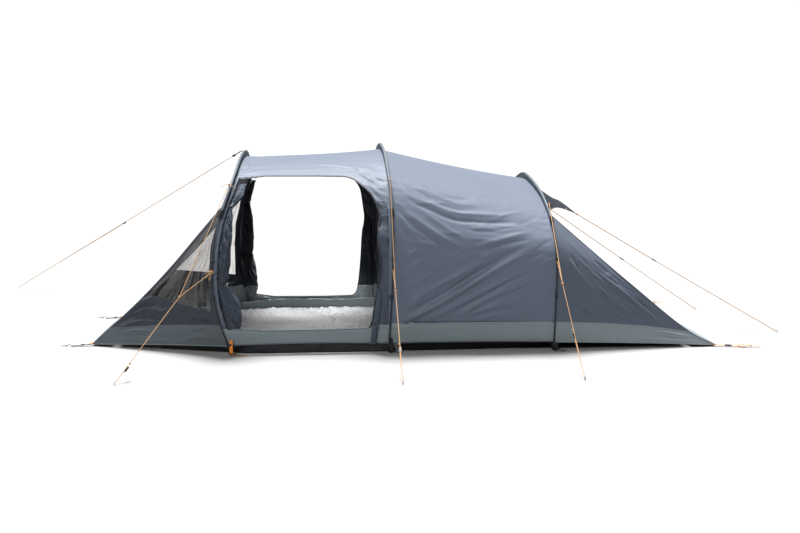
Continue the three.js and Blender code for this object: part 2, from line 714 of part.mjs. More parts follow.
for (const [name, guy] of Object.entries(SIDE_GUYS)) {
  for (const [side, sign] of SIDES) {
    const [upper, lower, junction, hold] = [
      beside(name, guy.upper, UPPER_GUY_GAP),
      beside(name, guy.lower, LOWER_GUY_GAP),
      guy.junction,
      guy.peg,
    ].map((point) => toSide(point, sign));
    const line = join(
      cord(upper, stepFrom(junction, upper, -BRANCH_OVERRUN)),
      cord(lower, stepFrom(junction, lower, -BRANCH_OVERRUN)),
      cord(stepFrom(junction, hold, -STEM_OVERRUN), stepFrom(hold, junction, LINE_PEG_GAP)));
    addGuy(`${name}_${side}`, line, junction, hold, guy.run);
  }
}
for (const [name, guy] of Object.entries(SINGLE_GUYS)) {
  const line = cord(guy.start, stepFrom(guy.peg, guy.start, LINE_PEG_GAP));
  addGuy(name, line, guy.start, guy.peg, guy.run);
}

// ---------------------------------------------------------------- corner straps and pegs
// Both ends of each strap, and its peg: [x, y, z]
const CORNERS = {
  front: { tip: [-2130, -578, HOLD_Z], end: [-2262, -588, HOLD_Z], hold: [-2282, -590, HOLD_Z] },
  rear: { tip: [2374, -966, HOLD_Z], end: [2560, -1006, HOLD_Z], hold: [2582, -1010, HOLD_Z] },
};
const STRAP = { width: 20, thickness: 2.4 };

function strap(from, to) {
  const [spanX, spanY] = [to[0] - from[0], to[1] - from[1]];
  const band = new THREE.BoxGeometry(Math.hypot(spanX, spanY), STRAP.width, STRAP.thickness);
  band.rotateZ(Math.atan2(spanY, spanX));
  band.translate((from[0] + to[0]) / 2, (from[1] + to[1]) / 2, HOLD_Z);
  return band;
}
for (const [name, corner] of Object.entries(CORNERS)) {
  for (const [side, sign] of SIDES) {
    const [tip, end, hold] = [corner.tip, corner.end, corner.hold]
      .map((point) => toSide(point, sign));
    put(`strap_${name}_${side}`, strap(tip, end), 'webbing');
    put(`peg_corner_${name}_${side}`, peg(hold, tip), 'steel');
  }
}

// ---------------------------------------------------------------- zip sliders
// One near the foot of each door's rear edge
const SLIDER_SIZE = [12, 6, 26];
const SLIDER_PLACE = [-100, -1026, 215];
for (const [side, sign] of SIDES) {
  const slider = new THREE.BoxGeometry(...SLIDER_SIZE);
  slider.translate(...toSide(SLIDER_PLACE, sign));
  put(`zip_slider_${side}`, slider, 'plastic');
}

export default tent;
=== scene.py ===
# Three-hoop tunnel tent: cloth, windows, poles, guys and fittings dressed over its CAD frame.
# Metres. X runs along the tent, with the porch end at -X, the middle hoop at X = 0 and the
# rear end at +X. Z is up from the ground. The near side, which the camera sees, is -Y.
import math
import bmesh
import bpy
import numpy as np
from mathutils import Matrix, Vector


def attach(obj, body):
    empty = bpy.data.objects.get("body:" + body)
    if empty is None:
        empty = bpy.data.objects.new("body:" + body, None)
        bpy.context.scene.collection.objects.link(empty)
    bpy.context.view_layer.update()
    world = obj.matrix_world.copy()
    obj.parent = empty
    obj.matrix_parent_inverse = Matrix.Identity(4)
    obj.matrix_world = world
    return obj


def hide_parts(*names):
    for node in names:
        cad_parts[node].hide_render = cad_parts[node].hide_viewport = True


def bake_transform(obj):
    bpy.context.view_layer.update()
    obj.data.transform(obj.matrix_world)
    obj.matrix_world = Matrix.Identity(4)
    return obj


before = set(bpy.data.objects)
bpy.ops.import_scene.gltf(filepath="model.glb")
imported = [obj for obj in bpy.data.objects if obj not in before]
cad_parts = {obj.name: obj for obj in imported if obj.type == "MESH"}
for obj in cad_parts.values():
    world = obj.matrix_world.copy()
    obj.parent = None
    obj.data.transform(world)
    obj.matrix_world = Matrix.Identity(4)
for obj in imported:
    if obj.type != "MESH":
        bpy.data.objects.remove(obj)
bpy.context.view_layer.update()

X_AXIS, Y_AXIS, UP = np.eye(3)
SIDES = {"near": -1, "far": 1}  # direction of each side along Y

# ------------------------------------------------------------------ main dimensions
HOOP_STEPS = 480
MIDDLE = HOOP_STEPS // 2
HEM = .062  # height of the lower edge of the cloth

# half outlines of the hoops, foot to crown: half width, height
ARCH = [(.98, 0), (1, .1), (1.045, .25), (1.075, .42), (1.085, .6), (1.07, .78), (1.03, .93),
        (.95, 1.08), (.85, 1.18), (.7, 1.27), (.5, 1.34), (.25, 1.385), (0, 1.4)]
REAR_ARCH = [(1.01, 0), (1.032, .06), (1.055, .213), (1.07, .384), (1.083, .52), (1.079, .659),
             (1.045, .77), (.964, .868), (.872, .95), (.744, 1.028), (.598, 1.096),
             (.301, 1.178), (0, 1.222)]
ARCH_TOP, FRONT_TOP, MID_TOP = 1.4, 1.396, 1.45
# lean of each hoop: height, x
FRONT_X = [(0, -1.098), (.024, -1.098), (.187, -1.145), (.324, -1.18), (.443, -1.195),
           (.62, -1.198), (.76, -1.185), (.931, -1.152), (1.042, -1.119), (1.143, -1.084),
           (1.279, -1.052), (1.396, -1.038)]
MID_X = [(0, 0), (.175, .003), (.356, .011), (.566, .02), (.811, .022), (.978, .02),
         (1.158, .014), (1.245, .006), (1.45, 0)]
REAR_X = [(0, 1.157), (.5, 1.159), (.95, 1.152), (1.222, 1.14)]

# door openings in the porch walls: x, height. Both share the head and the edge by the front hoop
DOOR_HEAD = [(-.205, 1.185), (-.25, 1.21), (-.31, 1.223), (-1.026, 1.223), (-1.054, 1.143),
             (-1.084, 1.05), (-1.128, .9), (-1.158, .74), (-1.168, .6), (-1.167, .46),
             (-1.155, .35), (-1.132, .24)]
DOORS = {
    "near": [(-1.104, .17), (-.15, .17), (-.121, .2), (-.103, .341), (-.086, .462), (-.062, .552),
             (-.062, .656), (-.078, .76), (-.078, .86), (-.066, .92), (-.06, .965), (-.076, 1.02),
             (-.1, 1.074), (-.128, 1.12)] + DOOR_HEAD,
    "far": [(-1.1, .112), (-.205, .108), (-.155, .128), (-.13, .2), (-.104, .426), (-.092, .676),
            (-.072, .76), (-.07, .83), (-.08, .89), (-.102, 1.042), (-.122, 1.09),
            (-.15, 1.13)] + DOOR_HEAD}
WINDOW = [(-1.15, .985), (-1.168, .9), (-1.204, .76), (-1.218, .585), (-1.214, .302),
          (-1.7, .388), (-1.519, .574), (-1.312, .808)]

# areas of mud wall, the pale band along the ground, and of the loose strip by the door: x, height
MUD_PORCH = [(-1.4, -.3), (.2, -.3), (.2, .202), (-.3, .198), (-.8, .19), (-1.02, .186), (-1.4, .2)]
MUD_BED = [(-.2, -.3), (1.4, -.3), (1.4, .21), (.76, .207), (.28, .21), (-.2, .21)]
MUD_FRONT = [(-3, -.3), (-.9, -.3), (-.9, .216), (-1.149, .214), (-1.255, .21), (-1.454, .196),
             (-1.654, .175), (-1.974, .134), (-2.2, .11), (-3, .1)]
MUD_REAR = [(.9, -.3), (3, -.3), (3, .06), (2.3, .085), (2.17, .105), (1.856, .155),
            (1.533, .186), (1.157, .208), (.9, .21)]
STRIP = [(-.16, .196), (-.006, .196), (-.006, 1), (-.03, 1.04), (-.06, 1.05), (-.1, 1), (-.16, .9)]

# lower corners of the tapering ends and the pegs they strap to, near side
CORNERS = {"front": ((-2.118, -.575, .014), (-2.262, -.588, .006)),
           "rear": ((2.361, -.963, .012), (2.56, -1.006, .006))}

# pieces that stretch between two bodies: the bodies, and the points where each takes over
PORCH_SPAN = ("tent", "front_hoop", (-.13, 0, 0), (-1.03, 0, 0))
BED_SPAN = ("tent", "rear_hoop", (.0, 0, 0), (1.15, 0, 0))
BODY = {"front": "front_hoop", "mid": "tent", "rear": "rear_hoop"}


def describe(replaces):
    if replaces:
        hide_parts(replaces)


def rides(piece, body, replaces=None):
    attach(piece, body)
    describe(replaces)


def spans(piece, replaces=None):
    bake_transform(piece)
    describe(replaces)


# ------------------------------------------------------------------ curves
def unit(vector):
    vector = np.asarray(vector, float)
    return vector / np.linalg.norm(vector)


def offset(base, sign, x, y, z):
    """A point moved from base, with y counted outward on the side given by sign."""
    return base + np.array([x, sign * y, z])


def mirror(sign):
    """Factors that carry a near-side point to the side given by sign."""
    return np.array([1, -sign, 1.])


def spline(points, per_span=24):
    """Centripetal curve through the points."""
    given = np.array(points, float)
    ext = np.vstack([2 * given[0] - given[1], given, 2 * given[-1] - given[-2]])
    out = []
    for i in range(1, len(ext) - 2):
        corners = ext[i - 1:i + 3]
        knots = [0.]
        for start, end in zip(corners, corners[1:]):
            knots.append(knots[-1] + np.linalg.norm(end - start) ** .5)
        where = np.linspace(knots[1], knots[2], per_span, endpoint=False)[:, None]

        def between(start, end, low, high):
            low, high = knots[low], knots[high]
            return (high - where) / (high - low) * start + (where - low) / (high - low) * end

        spans_ = [between(corners[j], corners[j + 1], j, j + 1) for j in range(3)]
        pairs = [between(spans_[j], spans_[j + 1], j, j + 2) for j in range(2)]
        out.append(between(pairs[0], pairs[1], 1, 2))
    out.append(given[-1:])
    return np.vstack(out)


def arc_lengths(points):
    return np.r_[0, np.cumsum(np.linalg.norm(np.diff(points, axis=0), axis=1))]


def sample(points, arc, where):
    return np.array([np.interp(where, arc, column) for column in points.T]).T


def even(points, steps):
    """The same line resampled to equal steps."""
    points = np.array(points, float)
    arc = arc_lengths(points)
    return sample(points, arc, np.linspace(0, arc[-1], steps + 1))


def line_at(line, fraction):
    """Points at fractions 0 to 1 of an evenly stepped line."""
    where = np.clip(np.asarray(fraction, float), 0, 1) * (len(line) - 1)
    i = np.minimum(where.astype(int), len(line) - 2)
    part = (where - i)[..., None]
    return line[i] * (1 - part) + line[i + 1] * part


def hoop(half, x_by_height, scale=1.):
    """Centre line of a hoop, from its near foot over the crown to its far foot."""
    heights, xs = np.array(x_by_height, float).T
    points = [(np.interp(z * scale, heights, xs), sign * y, z * scale)
              for sign, rows in ((-1, half), (1, half[-2::-1])) for y, z in rows]
    return even(spline(points), HOOP_STEPS)


def outward_normals(curve):
    """Normals of a hoop line in the Y-Z plane, pointing out of the tent."""
    run = np.gradient(curve[:, 1:], axis=0)
    run /= np.linalg.norm(run, axis=1)[:, None]
    return np.c_[np.zeros(len(curve)), -run[:, 1], run[:, 0]]


HOOP = {"front": hoop(ARCH, FRONT_X, FRONT_TOP / ARCH_TOP),
        "mid": hoop(ARCH, MID_X, MID_TOP / ARCH_TOP),
        "rear": hoop(REAR_ARCH, REAR_X)}
NORMALS = {name: outward_normals(curve) for name, curve in HOOP.items()}
CLOTH_GAP = .0015  # half the gap between the two sheets that meet under a hoop


def inset_at(fraction):
    """Distance of the cloth inside the pole, greatest at the crown."""
    return .017 + .023 * np.sin(np.pi * fraction) ** 4


def fabric_line(name, x_offset):
    """Edge of the cloth under a hoop, cut off at the hem."""
    curve = HOOP[name]
    line = curve - NORMALS[name] * inset_at(np.linspace(0, 1, len(curve)))[:, None]
    line[:, 0] += x_offset
    first = int(np.argmax(line[:, 2] > HEM))
    last = len(line) - 1 - int(np.argmax(line[::-1, 2] > HEM))

    def at_hem(below, above):
        part = (HEM - line[below, 2]) / (line[above, 2] - line[below, 2])
        return line[below] * (1 - part) + line[above] * part

    kept = [at_hem(first - 1, first), line[first:last + 1], at_hem(last + 1, last)]
    return even(np.vstack(kept), HOOP_STEPS)


# ------------------------------------------------------------------ noise and folds
def grid_values(column, row, seed):
    """A fixed random value from -1 to 1 at each whole-number grid point."""
    mixed = (column.astype(np.int64) * 374761393 + row.astype(np.int64) * 668265263
             + int(seed) * 974634777) & 0xFFFFFFFF
    mixed = ((mixed ^ (mixed >> 13)) * 1274126177) & 0xFFFFFFFF
    mixed = mixed ^ (mixed >> 16)
    return (mixed & 0xFFFF) / 32767.5 - 1.


def noise(x, y, seed=0):
    """Smooth noise between the grid values."""
    x, y = np.broadcast_arrays(np.asarray(x, float), np.asarray(y, float))
    left, low = np.floor(x), np.floor(y)

    def ease(part):
        return part * part * part * (part * (part * 6 - 15) + 10)

    across, up = ease(x - left), ease(y - low)

    def row(level):
        first = grid_values(left, level, seed)
        return first + (grid_values(left + 1, level, seed) - first) * across

    return row(low) * (1 - up) + row(low + 1) * up


def fbm(x, y, seed, octaves):
    """Noise summed over octaves, each half as strong as the last."""
    total, strength = 0., 1.
    for k in range(octaves):
        total = total + strength * noise(x * 2 ** k + 7.3 * k, y * 2 ** k - 3.1 * k, seed + k)
        strength *= .5
    return total


def crumple(x, y, seed, octaves):
    """Sharp-edged folds, as in a sheet that has been packed small."""
    total, strength = 0., 1.
    for k in range(octaves):
        warp_x = .35 * noise(x * 1.7 + 11, y * 1.7, seed + 31 + k)
        warp_y = .35 * noise(x * 1.7, y * 1.7 + 5, seed + 47 + k)
        ridged = np.abs(noise((x + warp_x) * 2 ** k, (y + warp_y) * 2 ** k, seed + k)) ** .8
        total = total + strength * (.5 - ridged)
        strength *= .55
    return total


def nearest_on(x, z, start, run, least=0.):
    """Fraction along a segment nearest to each point, the nearest place and its distance."""
    part = ((x - start[0]) * run[0] + (z - start[1]) * run[1]) / max(run @ run, least)
    part = np.clip(part, 0, 1)
    near_x, near_z = start[0] + part * run[0], start[1] + part * run[1]
    return part, near_x, near_z, np.hypot(x - near_x, z - near_z)


def fold(x, z, line, height, width, taper=.35, end_taper=None):
    """A rounded ridge (height > 0) or valley along a line, which runs out at its ends."""
    line = np.array(line, float)
    if len(line) > 2:
        line = spline(line, 8)
    arc = arc_lengths(line)
    best = np.full(np.shape(x), 1e9)
    where = np.zeros(np.shape(x))
    for i in range(len(line) - 1):
        part, _, _, dist = nearest_on(x, z, line[i], line[i + 1] - line[i])
        closer = dist < best
        best = np.where(closer, dist, best)
        where = np.where(closer, (arc[i] + part * (arc[i + 1] - arc[i])) / arc[-1], where)
    run = np.clip(np.minimum(where / taper, (1 - where) / (end_taper or taper)), 0, 1)
    run = run * run * (3 - 2 * run)
    return height * run * np.exp(-np.abs(best / width) ** 1.6)


def folds(x, z, rows, height_scale=1., width_scale=1., taper=.35):
    """Sum of folds given as rows of line, height, width."""
    total = np.zeros(x.shape)
    for line, height, width in rows:
        total += fold(x, z, line, height * height_scale, width * width_scale, taper)
    return total


def strewn(seed, count, box, angle, spread, length, height, width):
    """Small folds scattered over a box (x, x, z, z) that run roughly at angle(x, z) degrees."""
    rng = np.random.RandomState(seed)
    rows = []
    for _ in range(count):
        x, z = rng.uniform(box[0], box[1]), rng.uniform(box[2], box[3])
        turn = math.radians(angle(x, z)) + math.radians(rng.normal() * spread)
        reach = rng.uniform(*length)
        bend = rng.normal() * .12
        run = np.array([math.cos(turn), math.sin(turn)])
        beside = np.array([-run[1], run[0]])
        middle = np.array([x, z])
        line = [tuple(middle - run * reach / 2), tuple(middle + beside * bend * reach * .5),
                tuple(middle + run * reach / 2)]
        rise = rng.uniform(*height) * (1 if rng.rand() < .5 else -1)
        rows.append((line, rise, rng.uniform(*width)))
    return rows


# ------------------------------------------------------------------ materials
def add_node(tree, kind, inputs=None, **settings):
    """A shader node; an input given as a socket is linked, any other value is set."""
    node = tree.nodes.new(kind)
    for key, value in settings.items():
        setattr(node, key, value)
    for key, value in (inputs or {}).items():
        if isinstance(value, bpy.types.NodeSocket):
            tree.links.new(value, node.inputs[key])
        else:
            node.inputs[key].default_value = value
    return node


def empty_material(name):
    material = bpy.data.materials.new(name)
    material.use_nodes = True
    material.node_tree.nodes.clear()
    return material, material.node_tree


def surface_material(name, colour, rough, spec, sheen, vary, weave=None, crease=None, grain=0.,
                     metal=0.):
    """Mottled cloth (weave, crease) or solid (grain).
    weave: pitch, strength. crease: noise scale, strength, depth. vary: colour swing."""
    material, tree = empty_material(name)
    output = add_node(tree, "ShaderNodeOutputMaterial")
    shader = add_node(tree, "ShaderNodeBsdfPrincipled", {
        "Base Color": (*colour, 1), "Roughness": rough, "Metallic": metal,
        "Specular IOR Level": spec, "Sheen Weight": sheen, "Sheen Roughness": .5,
        "Coat Roughness": .25})
    tree.links.new(shader.outputs[0], output.inputs[0])
    coords = add_node(tree, "ShaderNodeTexCoord")
    source = coords.outputs["UV" if weave else "Object"]
    mottle = add_node(tree, "ShaderNodeTexNoise", {"Scale": 3.2, "Detail": 6, "Vector": source})
    fine = add_node(tree, "ShaderNodeTexNoise",
                    {"Scale": 260 if weave else 90, "Detail": 3, "Vector": source})
    # colour swings between a darker and a lighter tone with both noises
    total = add_node(tree, "ShaderNodeMath", {0: fine.outputs[0], 1: .35, 2: mottle.outputs[0]},
                     operation="MULTIPLY_ADD")
    centred = add_node(tree, "ShaderNodeMath", {0: total.outputs[0], 1: .17},
                       operation="SUBTRACT", use_clamp=True)
    darker = [part * (1 - vary) for part in colour]
    lighter = [min(1, part * (1 + vary)) for part in colour]
    tone = add_node(tree, "ShaderNodeMix", {0: centred.outputs[0], 6: (*darker, 1),
                                            7: (*lighter, 1)}, data_type="RGBA")
    tree.links.new(tone.outputs[2], shader.inputs["Base Color"])
    gloss = add_node(tree, "ShaderNodeMapRange", {
        "To Min": max(0, rough - .07), "To Max": min(1, rough + .07), 0: mottle.outputs[0]})
    tree.links.new(gloss.outputs[0], shader.inputs["Roughness"])

    normal = None

    def bump(height, strength, distance):
        nonlocal normal
        inputs = {"Strength": strength, "Distance": distance, "Height": height}
        if normal is not None:
            inputs["Normal"] = normal
        normal = add_node(tree, "ShaderNodeBump", inputs).outputs[0]

    if crease:
        scale, strength, depth = crease
        creases = add_node(tree, "ShaderNodeTexNoise", {
            "Scale": scale, "Detail": 5, "Roughness": .62, "Distortion": .8, "Vector": source})
        bump(creases.outputs[0], strength, depth)
    if weave:
        pitch, strength = weave
        for axis in ("X", "Y"):
            threads = add_node(tree, "ShaderNodeTexWave", {
                "Scale": 1 / pitch / 20, "Distortion": .2, "Vector": source},
                wave_type="BANDS", bands_direction=axis)
            bump(threads.outputs[1], strength, .0003)
    if grain:
        bump(fine.outputs[0], grain, .0006)
    tree.links.new(normal, shader.inputs["Normal"])
    material.diffuse_color = (*colour, 1)
    return material


def film_material():
    """Clear window film with milky streaks and a fine speckle."""
    material, tree = empty_material("window_film")
    output = add_node(tree, "ShaderNodeOutputMaterial")
    clear = add_node(tree, "ShaderNodeBsdfTransparent", {0: (.885, .88, .875, 1)})
    gloss = add_node(tree, "ShaderNodeBsdfPrincipled", {
        "Base Color": (.4, .4, .41, 1), "Roughness": .16, "Specular IOR Level": .6})
    through = add_node(tree, "ShaderNodeBsdfTranslucent", {0: (.86, .85, .84, 1)})
    coords = add_node(tree, "ShaderNodeTexCoord").outputs["UV"]
    stretch = add_node(tree, "ShaderNodeMapping", {"Scale": (15, 2.2, 1), "Vector": coords})
    streak = add_node(tree, "ShaderNodeTexNoise", {
        "Scale": 1., "Detail": 5, "Distortion": .8, "Vector": stretch.outputs[0]})
    bump = add_node(tree, "ShaderNodeBump", {
        "Strength": .5, "Distance": .008, "Height": streak.outputs[0]})
    for shader in (gloss, through):
        tree.links.new(bump.outputs[0], shader.inputs["Normal"])
    body = add_node(tree, "ShaderNodeMixShader",
                    {0: .3, 1: gloss.outputs[0], 2: through.outputs[0]})
    milky = add_node(tree, "ShaderNodeMapRange", {
        "From Min": .38, "From Max": .66, "To Min": .04, "To Max": .26, 0: streak.outputs[0]})
    speckle = add_node(tree, "ShaderNodeTexVoronoi", {"Scale": 46, "Vector": coords})
    dots = add_node(tree, "ShaderNodeMapRange", {
        "From Min": .05, "From Max": .14, "To Min": .22, "To Max": 0.,
        0: speckle.outputs["Distance"]})
    haze = add_node(tree, "ShaderNodeMath", {0: milky.outputs[0], 1: dots.outputs[0]},
                    operation="ADD", use_clamp=True)
    mix = add_node(tree, "ShaderNodeMixShader",
                   {0: haze.outputs[0], 1: clear.outputs[0], 2: body.outputs[0]})
    tree.links.new(mix.outputs[0], output.inputs[0])
    material.diffuse_color = (.8, .82, .84, .3)
    return material


FLY_WEAVE, MUD_WEAVE = (.0011, .12), (.0012, .14)
SOFT_CREASE, MUD_CREASE = (14, .2, .004), (16, .2, .004)
# name, colour, roughness, specular, sheen, colour swing, weave, crease
CLOTHS = {
    "fly": ("fly_fabric", (.122, .149, .2), .55, .38, .1, .06, FLY_WEAVE, (14, .16, .004)),
    "fly_in": ("fly_fabric_inside", (.044, .053, .07), .6, .3, 0, .08, FLY_WEAVE, SOFT_CREASE),
    # front end cloth: a darker panel of its own, made darker still with painted shade for the end
    # that faces away from the light; the door zip tapes and window welts share it
    "fly_dark_with_painted_shade": ("fly_fabric_dark_with_painted_shade", (.03, .037, .05), .5, .42, .06, .07, FLY_WEAVE,
                 (14, .18, .004)),
    # rear end cloth: the fly colour darkened with painted shade for the end that turns away from
    # the light
    "fly_rear_painted_shade": ("fly_fabric_rear_painted_shade", (.092, .112, .15), .52, .4, .08, .06, FLY_WEAVE,
                 (14, .16, .004)),
    # hood's upper face: a dark colour with painted shade on a face that the overhead light would
    # brighten
    "hood_top_painted_shade": ("hood_fabric_top_painted_shade", (.024, .029, .04), .7, .15, 0, .06, FLY_WEAVE, SOFT_CREASE),
    "mud": ("mudwall_fabric", (.225, .27, .29), .48, .5, .06, .06, MUD_WEAVE, MUD_CREASE),
    # front mud wall: the mud wall colour darkened with painted shade
    "mud_front_painted_shade": ("mudwall_fabric_front_painted_shade", (.105, .128, .142), .5, .42, .06, .06, MUD_WEAVE,
                  MUD_CREASE),
    "mud_in": ("mudwall_fabric_inside", (.26, .3, .32), .6, .4, 0, .08, MUD_WEAVE, MUD_CREASE),
    "sleeve": ("sleeve_fabric", (.13, .156, .18), .6, .45, 0, .08, (.0014, .25), (30, .25, .003)),
    "hood": ("hood_fabric", (.022, .026, .036), .5, .45, .05, .08, FLY_WEAVE, SOFT_CREASE),
    "door": ("door_fabric", (.072, .088, .118), .66, .26, .04, .08, FLY_WEAVE, (24, .35, .005)),
    "inner": ("inner_tent_fabric", (.038, .044, .056), .75, .3, 0, .1, (.0014, .2),
              (12, .2, .004)),
    # tub: near black, partly the bathtub floor's own colour and partly painted shade for the gap
    # under the hem
    "tub": ("bathtub_floor", (.012, .013, .015), .5, .4, 0, .15, (.0016, .2), (18, .3, .004)),
    "mesh": ("vent_mesh", (.01, .011, .013), .8, .2, 0, .2, (.0022, .8), None),
    "web": ("black_webbing", (.016, .017, .02), .75, .3, 0, .2, (.0018, .7), None),
    "web_orange": ("orange_webbing", (.8, .3, .045), .7, .3, 0, .12, (.0018, .6), None)}
# name, colour, roughness, specular, sheen, colour swing, grain strength, metallic
SOLIDS = {
    "pole": ("pole_black", (.012, .013, .015), .32, .5, 0, .2, .15, 0),
    "ferrule": ("ferrule_metal", (.06, .062, .066), .34, .5, 0, .08, .1, 1),
    "steel": ("peg_steel", (.52, .53, .54), .3, .5, 0, .12, .2, 1),
    "plastic": ("black_plastic", (.014, .015, .017), .45, .45, 0, .15, .3, 0),
    "cord": ("orange_cord", (.6, .34, .16), .75, .3, .15, .16, .8, 0),
    "dull_red": ("dark_red_cord", (.1, .018, .014), .75, .5, 0, .1, .4, 0),
    "red": ("red_tab", (.35, .03, .02), .7, .5, 0, .1, .4, 0),
    "toggle": ("toggle_grey", (.42, .43, .45), .45, .5, 0, .08, .3, 0)}
MATERIALS = {key: surface_material(*row) for key, row in CLOTHS.items()}
MATERIALS["floor"] = surface_material(
    "silver_groundsheet", (.5, .5, .51), rough=.5, spec=.45, sheen=0, vary=.4,
    weave=(.0022, .25), crease=(42, 1., .055), metal=.22)
for key, (*look, grain, metal) in SOLIDS.items():
    MATERIALS[key] = surface_material(*look, grain=grain, metal=metal)
MATERIALS["film"] = film_material()


# ------------------------------------------------------------------ mesh builders
def make(name, points, faces, material, uv, inside=None, thickness=0., side=-1.):
    """A smooth mesh object; side is the solidify offset, inside its inner material."""
    mesh = bpy.data.meshes.new(name)
    points = np.asarray(points, float).reshape(-1, 3)
    mesh.from_pydata(points.tolist(), [], [list(map(int, face)) for face in faces])
    mesh.materials.append(MATERIALS[material])
    if inside:
        mesh.materials.append(MATERIALS[inside])
    layer = mesh.uv_layers.new(name="UVMap")
    index = np.zeros(len(mesh.loops), np.int32)
    mesh.loops.foreach_get("vertex_index", index)
    uv = np.asarray(uv, float).reshape(-1, 2)
    layer.data.foreach_set("uv", uv[index].astype(np.float32).ravel())
    mesh.polygons.foreach_set("use_smooth", np.ones(len(mesh.polygons), bool))
    mesh.update()
    piece = bpy.data.objects.new(name, mesh)
    bpy.context.scene.collection.objects.link(piece)
    if thickness:
        solid = piece.modifiers.new("thickness", "SOLIDIFY")
        solid.thickness = thickness
        solid.offset = side
        if inside:
            solid.material_offset = 1
    return piece


def make_part(name, points, faces, material, uv, **options):
    """A mesh of some faces of a larger sheet, with only the points they use."""
    used, index = np.unique(faces, return_inverse=True)
    return make(name, points.reshape(-1, 3)[used], index.reshape(faces.shape), material,
                uv.reshape(-1, 2)[used], **options)


def grid_quads(rows, columns):
    index = np.arange(rows * columns).reshape(rows, columns)
    return np.stack([index[:-1, :-1], index[1:, :-1], index[1:, 1:], index[:-1, 1:]],
                    -1).reshape(-1, 4)


TURNED = [0, 3, 2, 1]  # corner order that turns a quad over and keeps its first corner


def ring_quads(index):
    """Quads between rings of point numbers, one ring per row."""
    after = np.roll(index, -1, axis=1)
    return np.stack([index[:-1], after[:-1], after[1:], index[1:]], -1).reshape(-1, 4)


def uv_grid(first, second):
    return np.stack(np.broadcast_arrays(first, second), -1)


def cross_axes(path, ups, closed):
    """Side and up directions at each point of a path."""
    if closed:
        run = np.roll(path, -1, 0) - np.roll(path, 1, 0)
    else:
        run = np.gradient(path, axis=0)
    run /= np.maximum(np.linalg.norm(run, axis=1), 1e-9)[:, None]
    if ups is None:
        # carry one direction along the path without twist
        up = np.zeros_like(path)
        first = UP if abs(run[0][2]) < .9 else X_AXIS
        last = first - run[0] * (first @ run[0])
        last /= np.linalg.norm(last)
        for i in range(len(path)):
            last = last - run[i] * (last @ run[i])
            last /= max(np.linalg.norm(last), 1e-9)
            up[i] = last
    else:
        up = np.broadcast_to(np.asarray(ups, float), path.shape).copy()
        up -= run * (up * run).sum(1)[:, None]
        up /= np.maximum(np.linalg.norm(up, axis=1), 1e-9)[:, None]
    return np.cross(run, up), up


def sweep(path, section, material, ups=None, closed=False, scale=None, name="piece"):
    """A section of (side, up) offsets carried along a path; one section, or one per point."""
    path = np.asarray(path, float)
    count = len(path)
    section = np.asarray(section, float)
    if section.ndim == 2:
        section = np.broadcast_to(section, (count,) + section.shape).copy()
    if scale is not None:
        section = section * np.asarray(scale, float).reshape(-1, 1, 1)
    around = section.shape[1]
    side, up = cross_axes(path, ups, closed)
    points = path[:, None] + side[:, None] * section[..., 0:1] + up[:, None] * section[..., 1:2]
    points = points.reshape(-1, 3)
    index = np.arange(count * around).reshape(count, around)
    if closed:
        faces = ring_quads(np.vstack([index, index[:1]])).tolist()
    else:
        faces = ring_quads(index).tolist() + [index[0][::-1].tolist(), index[-1].tolist()]
    uv = uv_grid(arc_lengths(path)[:, None], np.linspace(0, .05, around)[None])
    piece = make(name, points, faces, material, uv)
    # keep the faces pointing out
    volume = 0.
    centred = points - points.mean(0)
    for face in faces:
        for i in range(1, len(face) - 1):
            volume += np.dot(centred[face[0]], np.cross(centred[face[i]], centred[face[i + 1]]))
    if volume < 0:
        piece.data.flip_normals()
    return piece


def rect(width, height, rounding=.3):
    """Rounded rectangle; the corner radius is a share of the smaller side."""
    radius = min(width, height) * rounding
    reach_x, reach_y = width / 2 - radius, height / 2 - radius
    points = []
    for sign_x, sign_y, start in ((1, 1, 0), (-1, 1, 90), (-1, -1, 180), (1, -1, 270)):
        for step in (0, 45, 90):
            turn = math.radians(start + step)
            points.append((sign_x * reach_x + radius * math.cos(turn),
                           sign_y * reach_y + radius * math.sin(turn)))
    return np.array(points)


def tube(path, radius, material, sides=10, **options):
    turn = np.arange(sides) * 2 * np.pi / sides
    section = np.c_[radius * np.cos(turn), radius * np.sin(turn)]
    return sweep(path, section, material, **options)


def strap(path, width, thickness, material, ups=UP, **options):
    return sweep(path, rect(width, thickness), material, ups=ups, **options)


def block(center, size, axes, material, name="piece"):
    """A rounded block with its size along the three given axes."""
    axes = [unit(axis) for axis in axes]
    path = [np.asarray(center, float) + axes[2] * size[2] * part
            for part in (-.5, -.44, -.2, 0, .2, .44, .5)]
    return sweep(path, rect(size[0], size[1], .25), material, ups=axes[1],
                 scale=[.86, 1, 1, 1, 1, 1, .86], name=name)


def upright_ring(center, width, height, count):
    """Points of an ellipse in the X-Z plane, from its half width and half height."""
    return [center + np.array([width * math.cos(turn), 0, height * math.sin(turn)])
            for turn in np.linspace(0, 2 * np.pi, count, endpoint=False)]


def join(name, pieces):
    """One object out of several pieces of the same rider."""
    bpy.ops.object.select_all(action="DESELECT")
    for piece in pieces:
        piece.select_set(True)
    bpy.context.view_layer.objects.active = pieces[0]
    bpy.ops.object.join()
    pieces[0].name = name
    return pieces[0]


def clean(piece, distance=.0004):
    """Merges doubled points so that a panel is one sheet."""
    mesh = bmesh.new()
    mesh.from_mesh(piece.data)
    bmesh.ops.remove_doubles(mesh, verts=mesh.verts, dist=distance)
    mesh.to_mesh(piece.data)
    mesh.free()
    piece.data.update()
    return piece


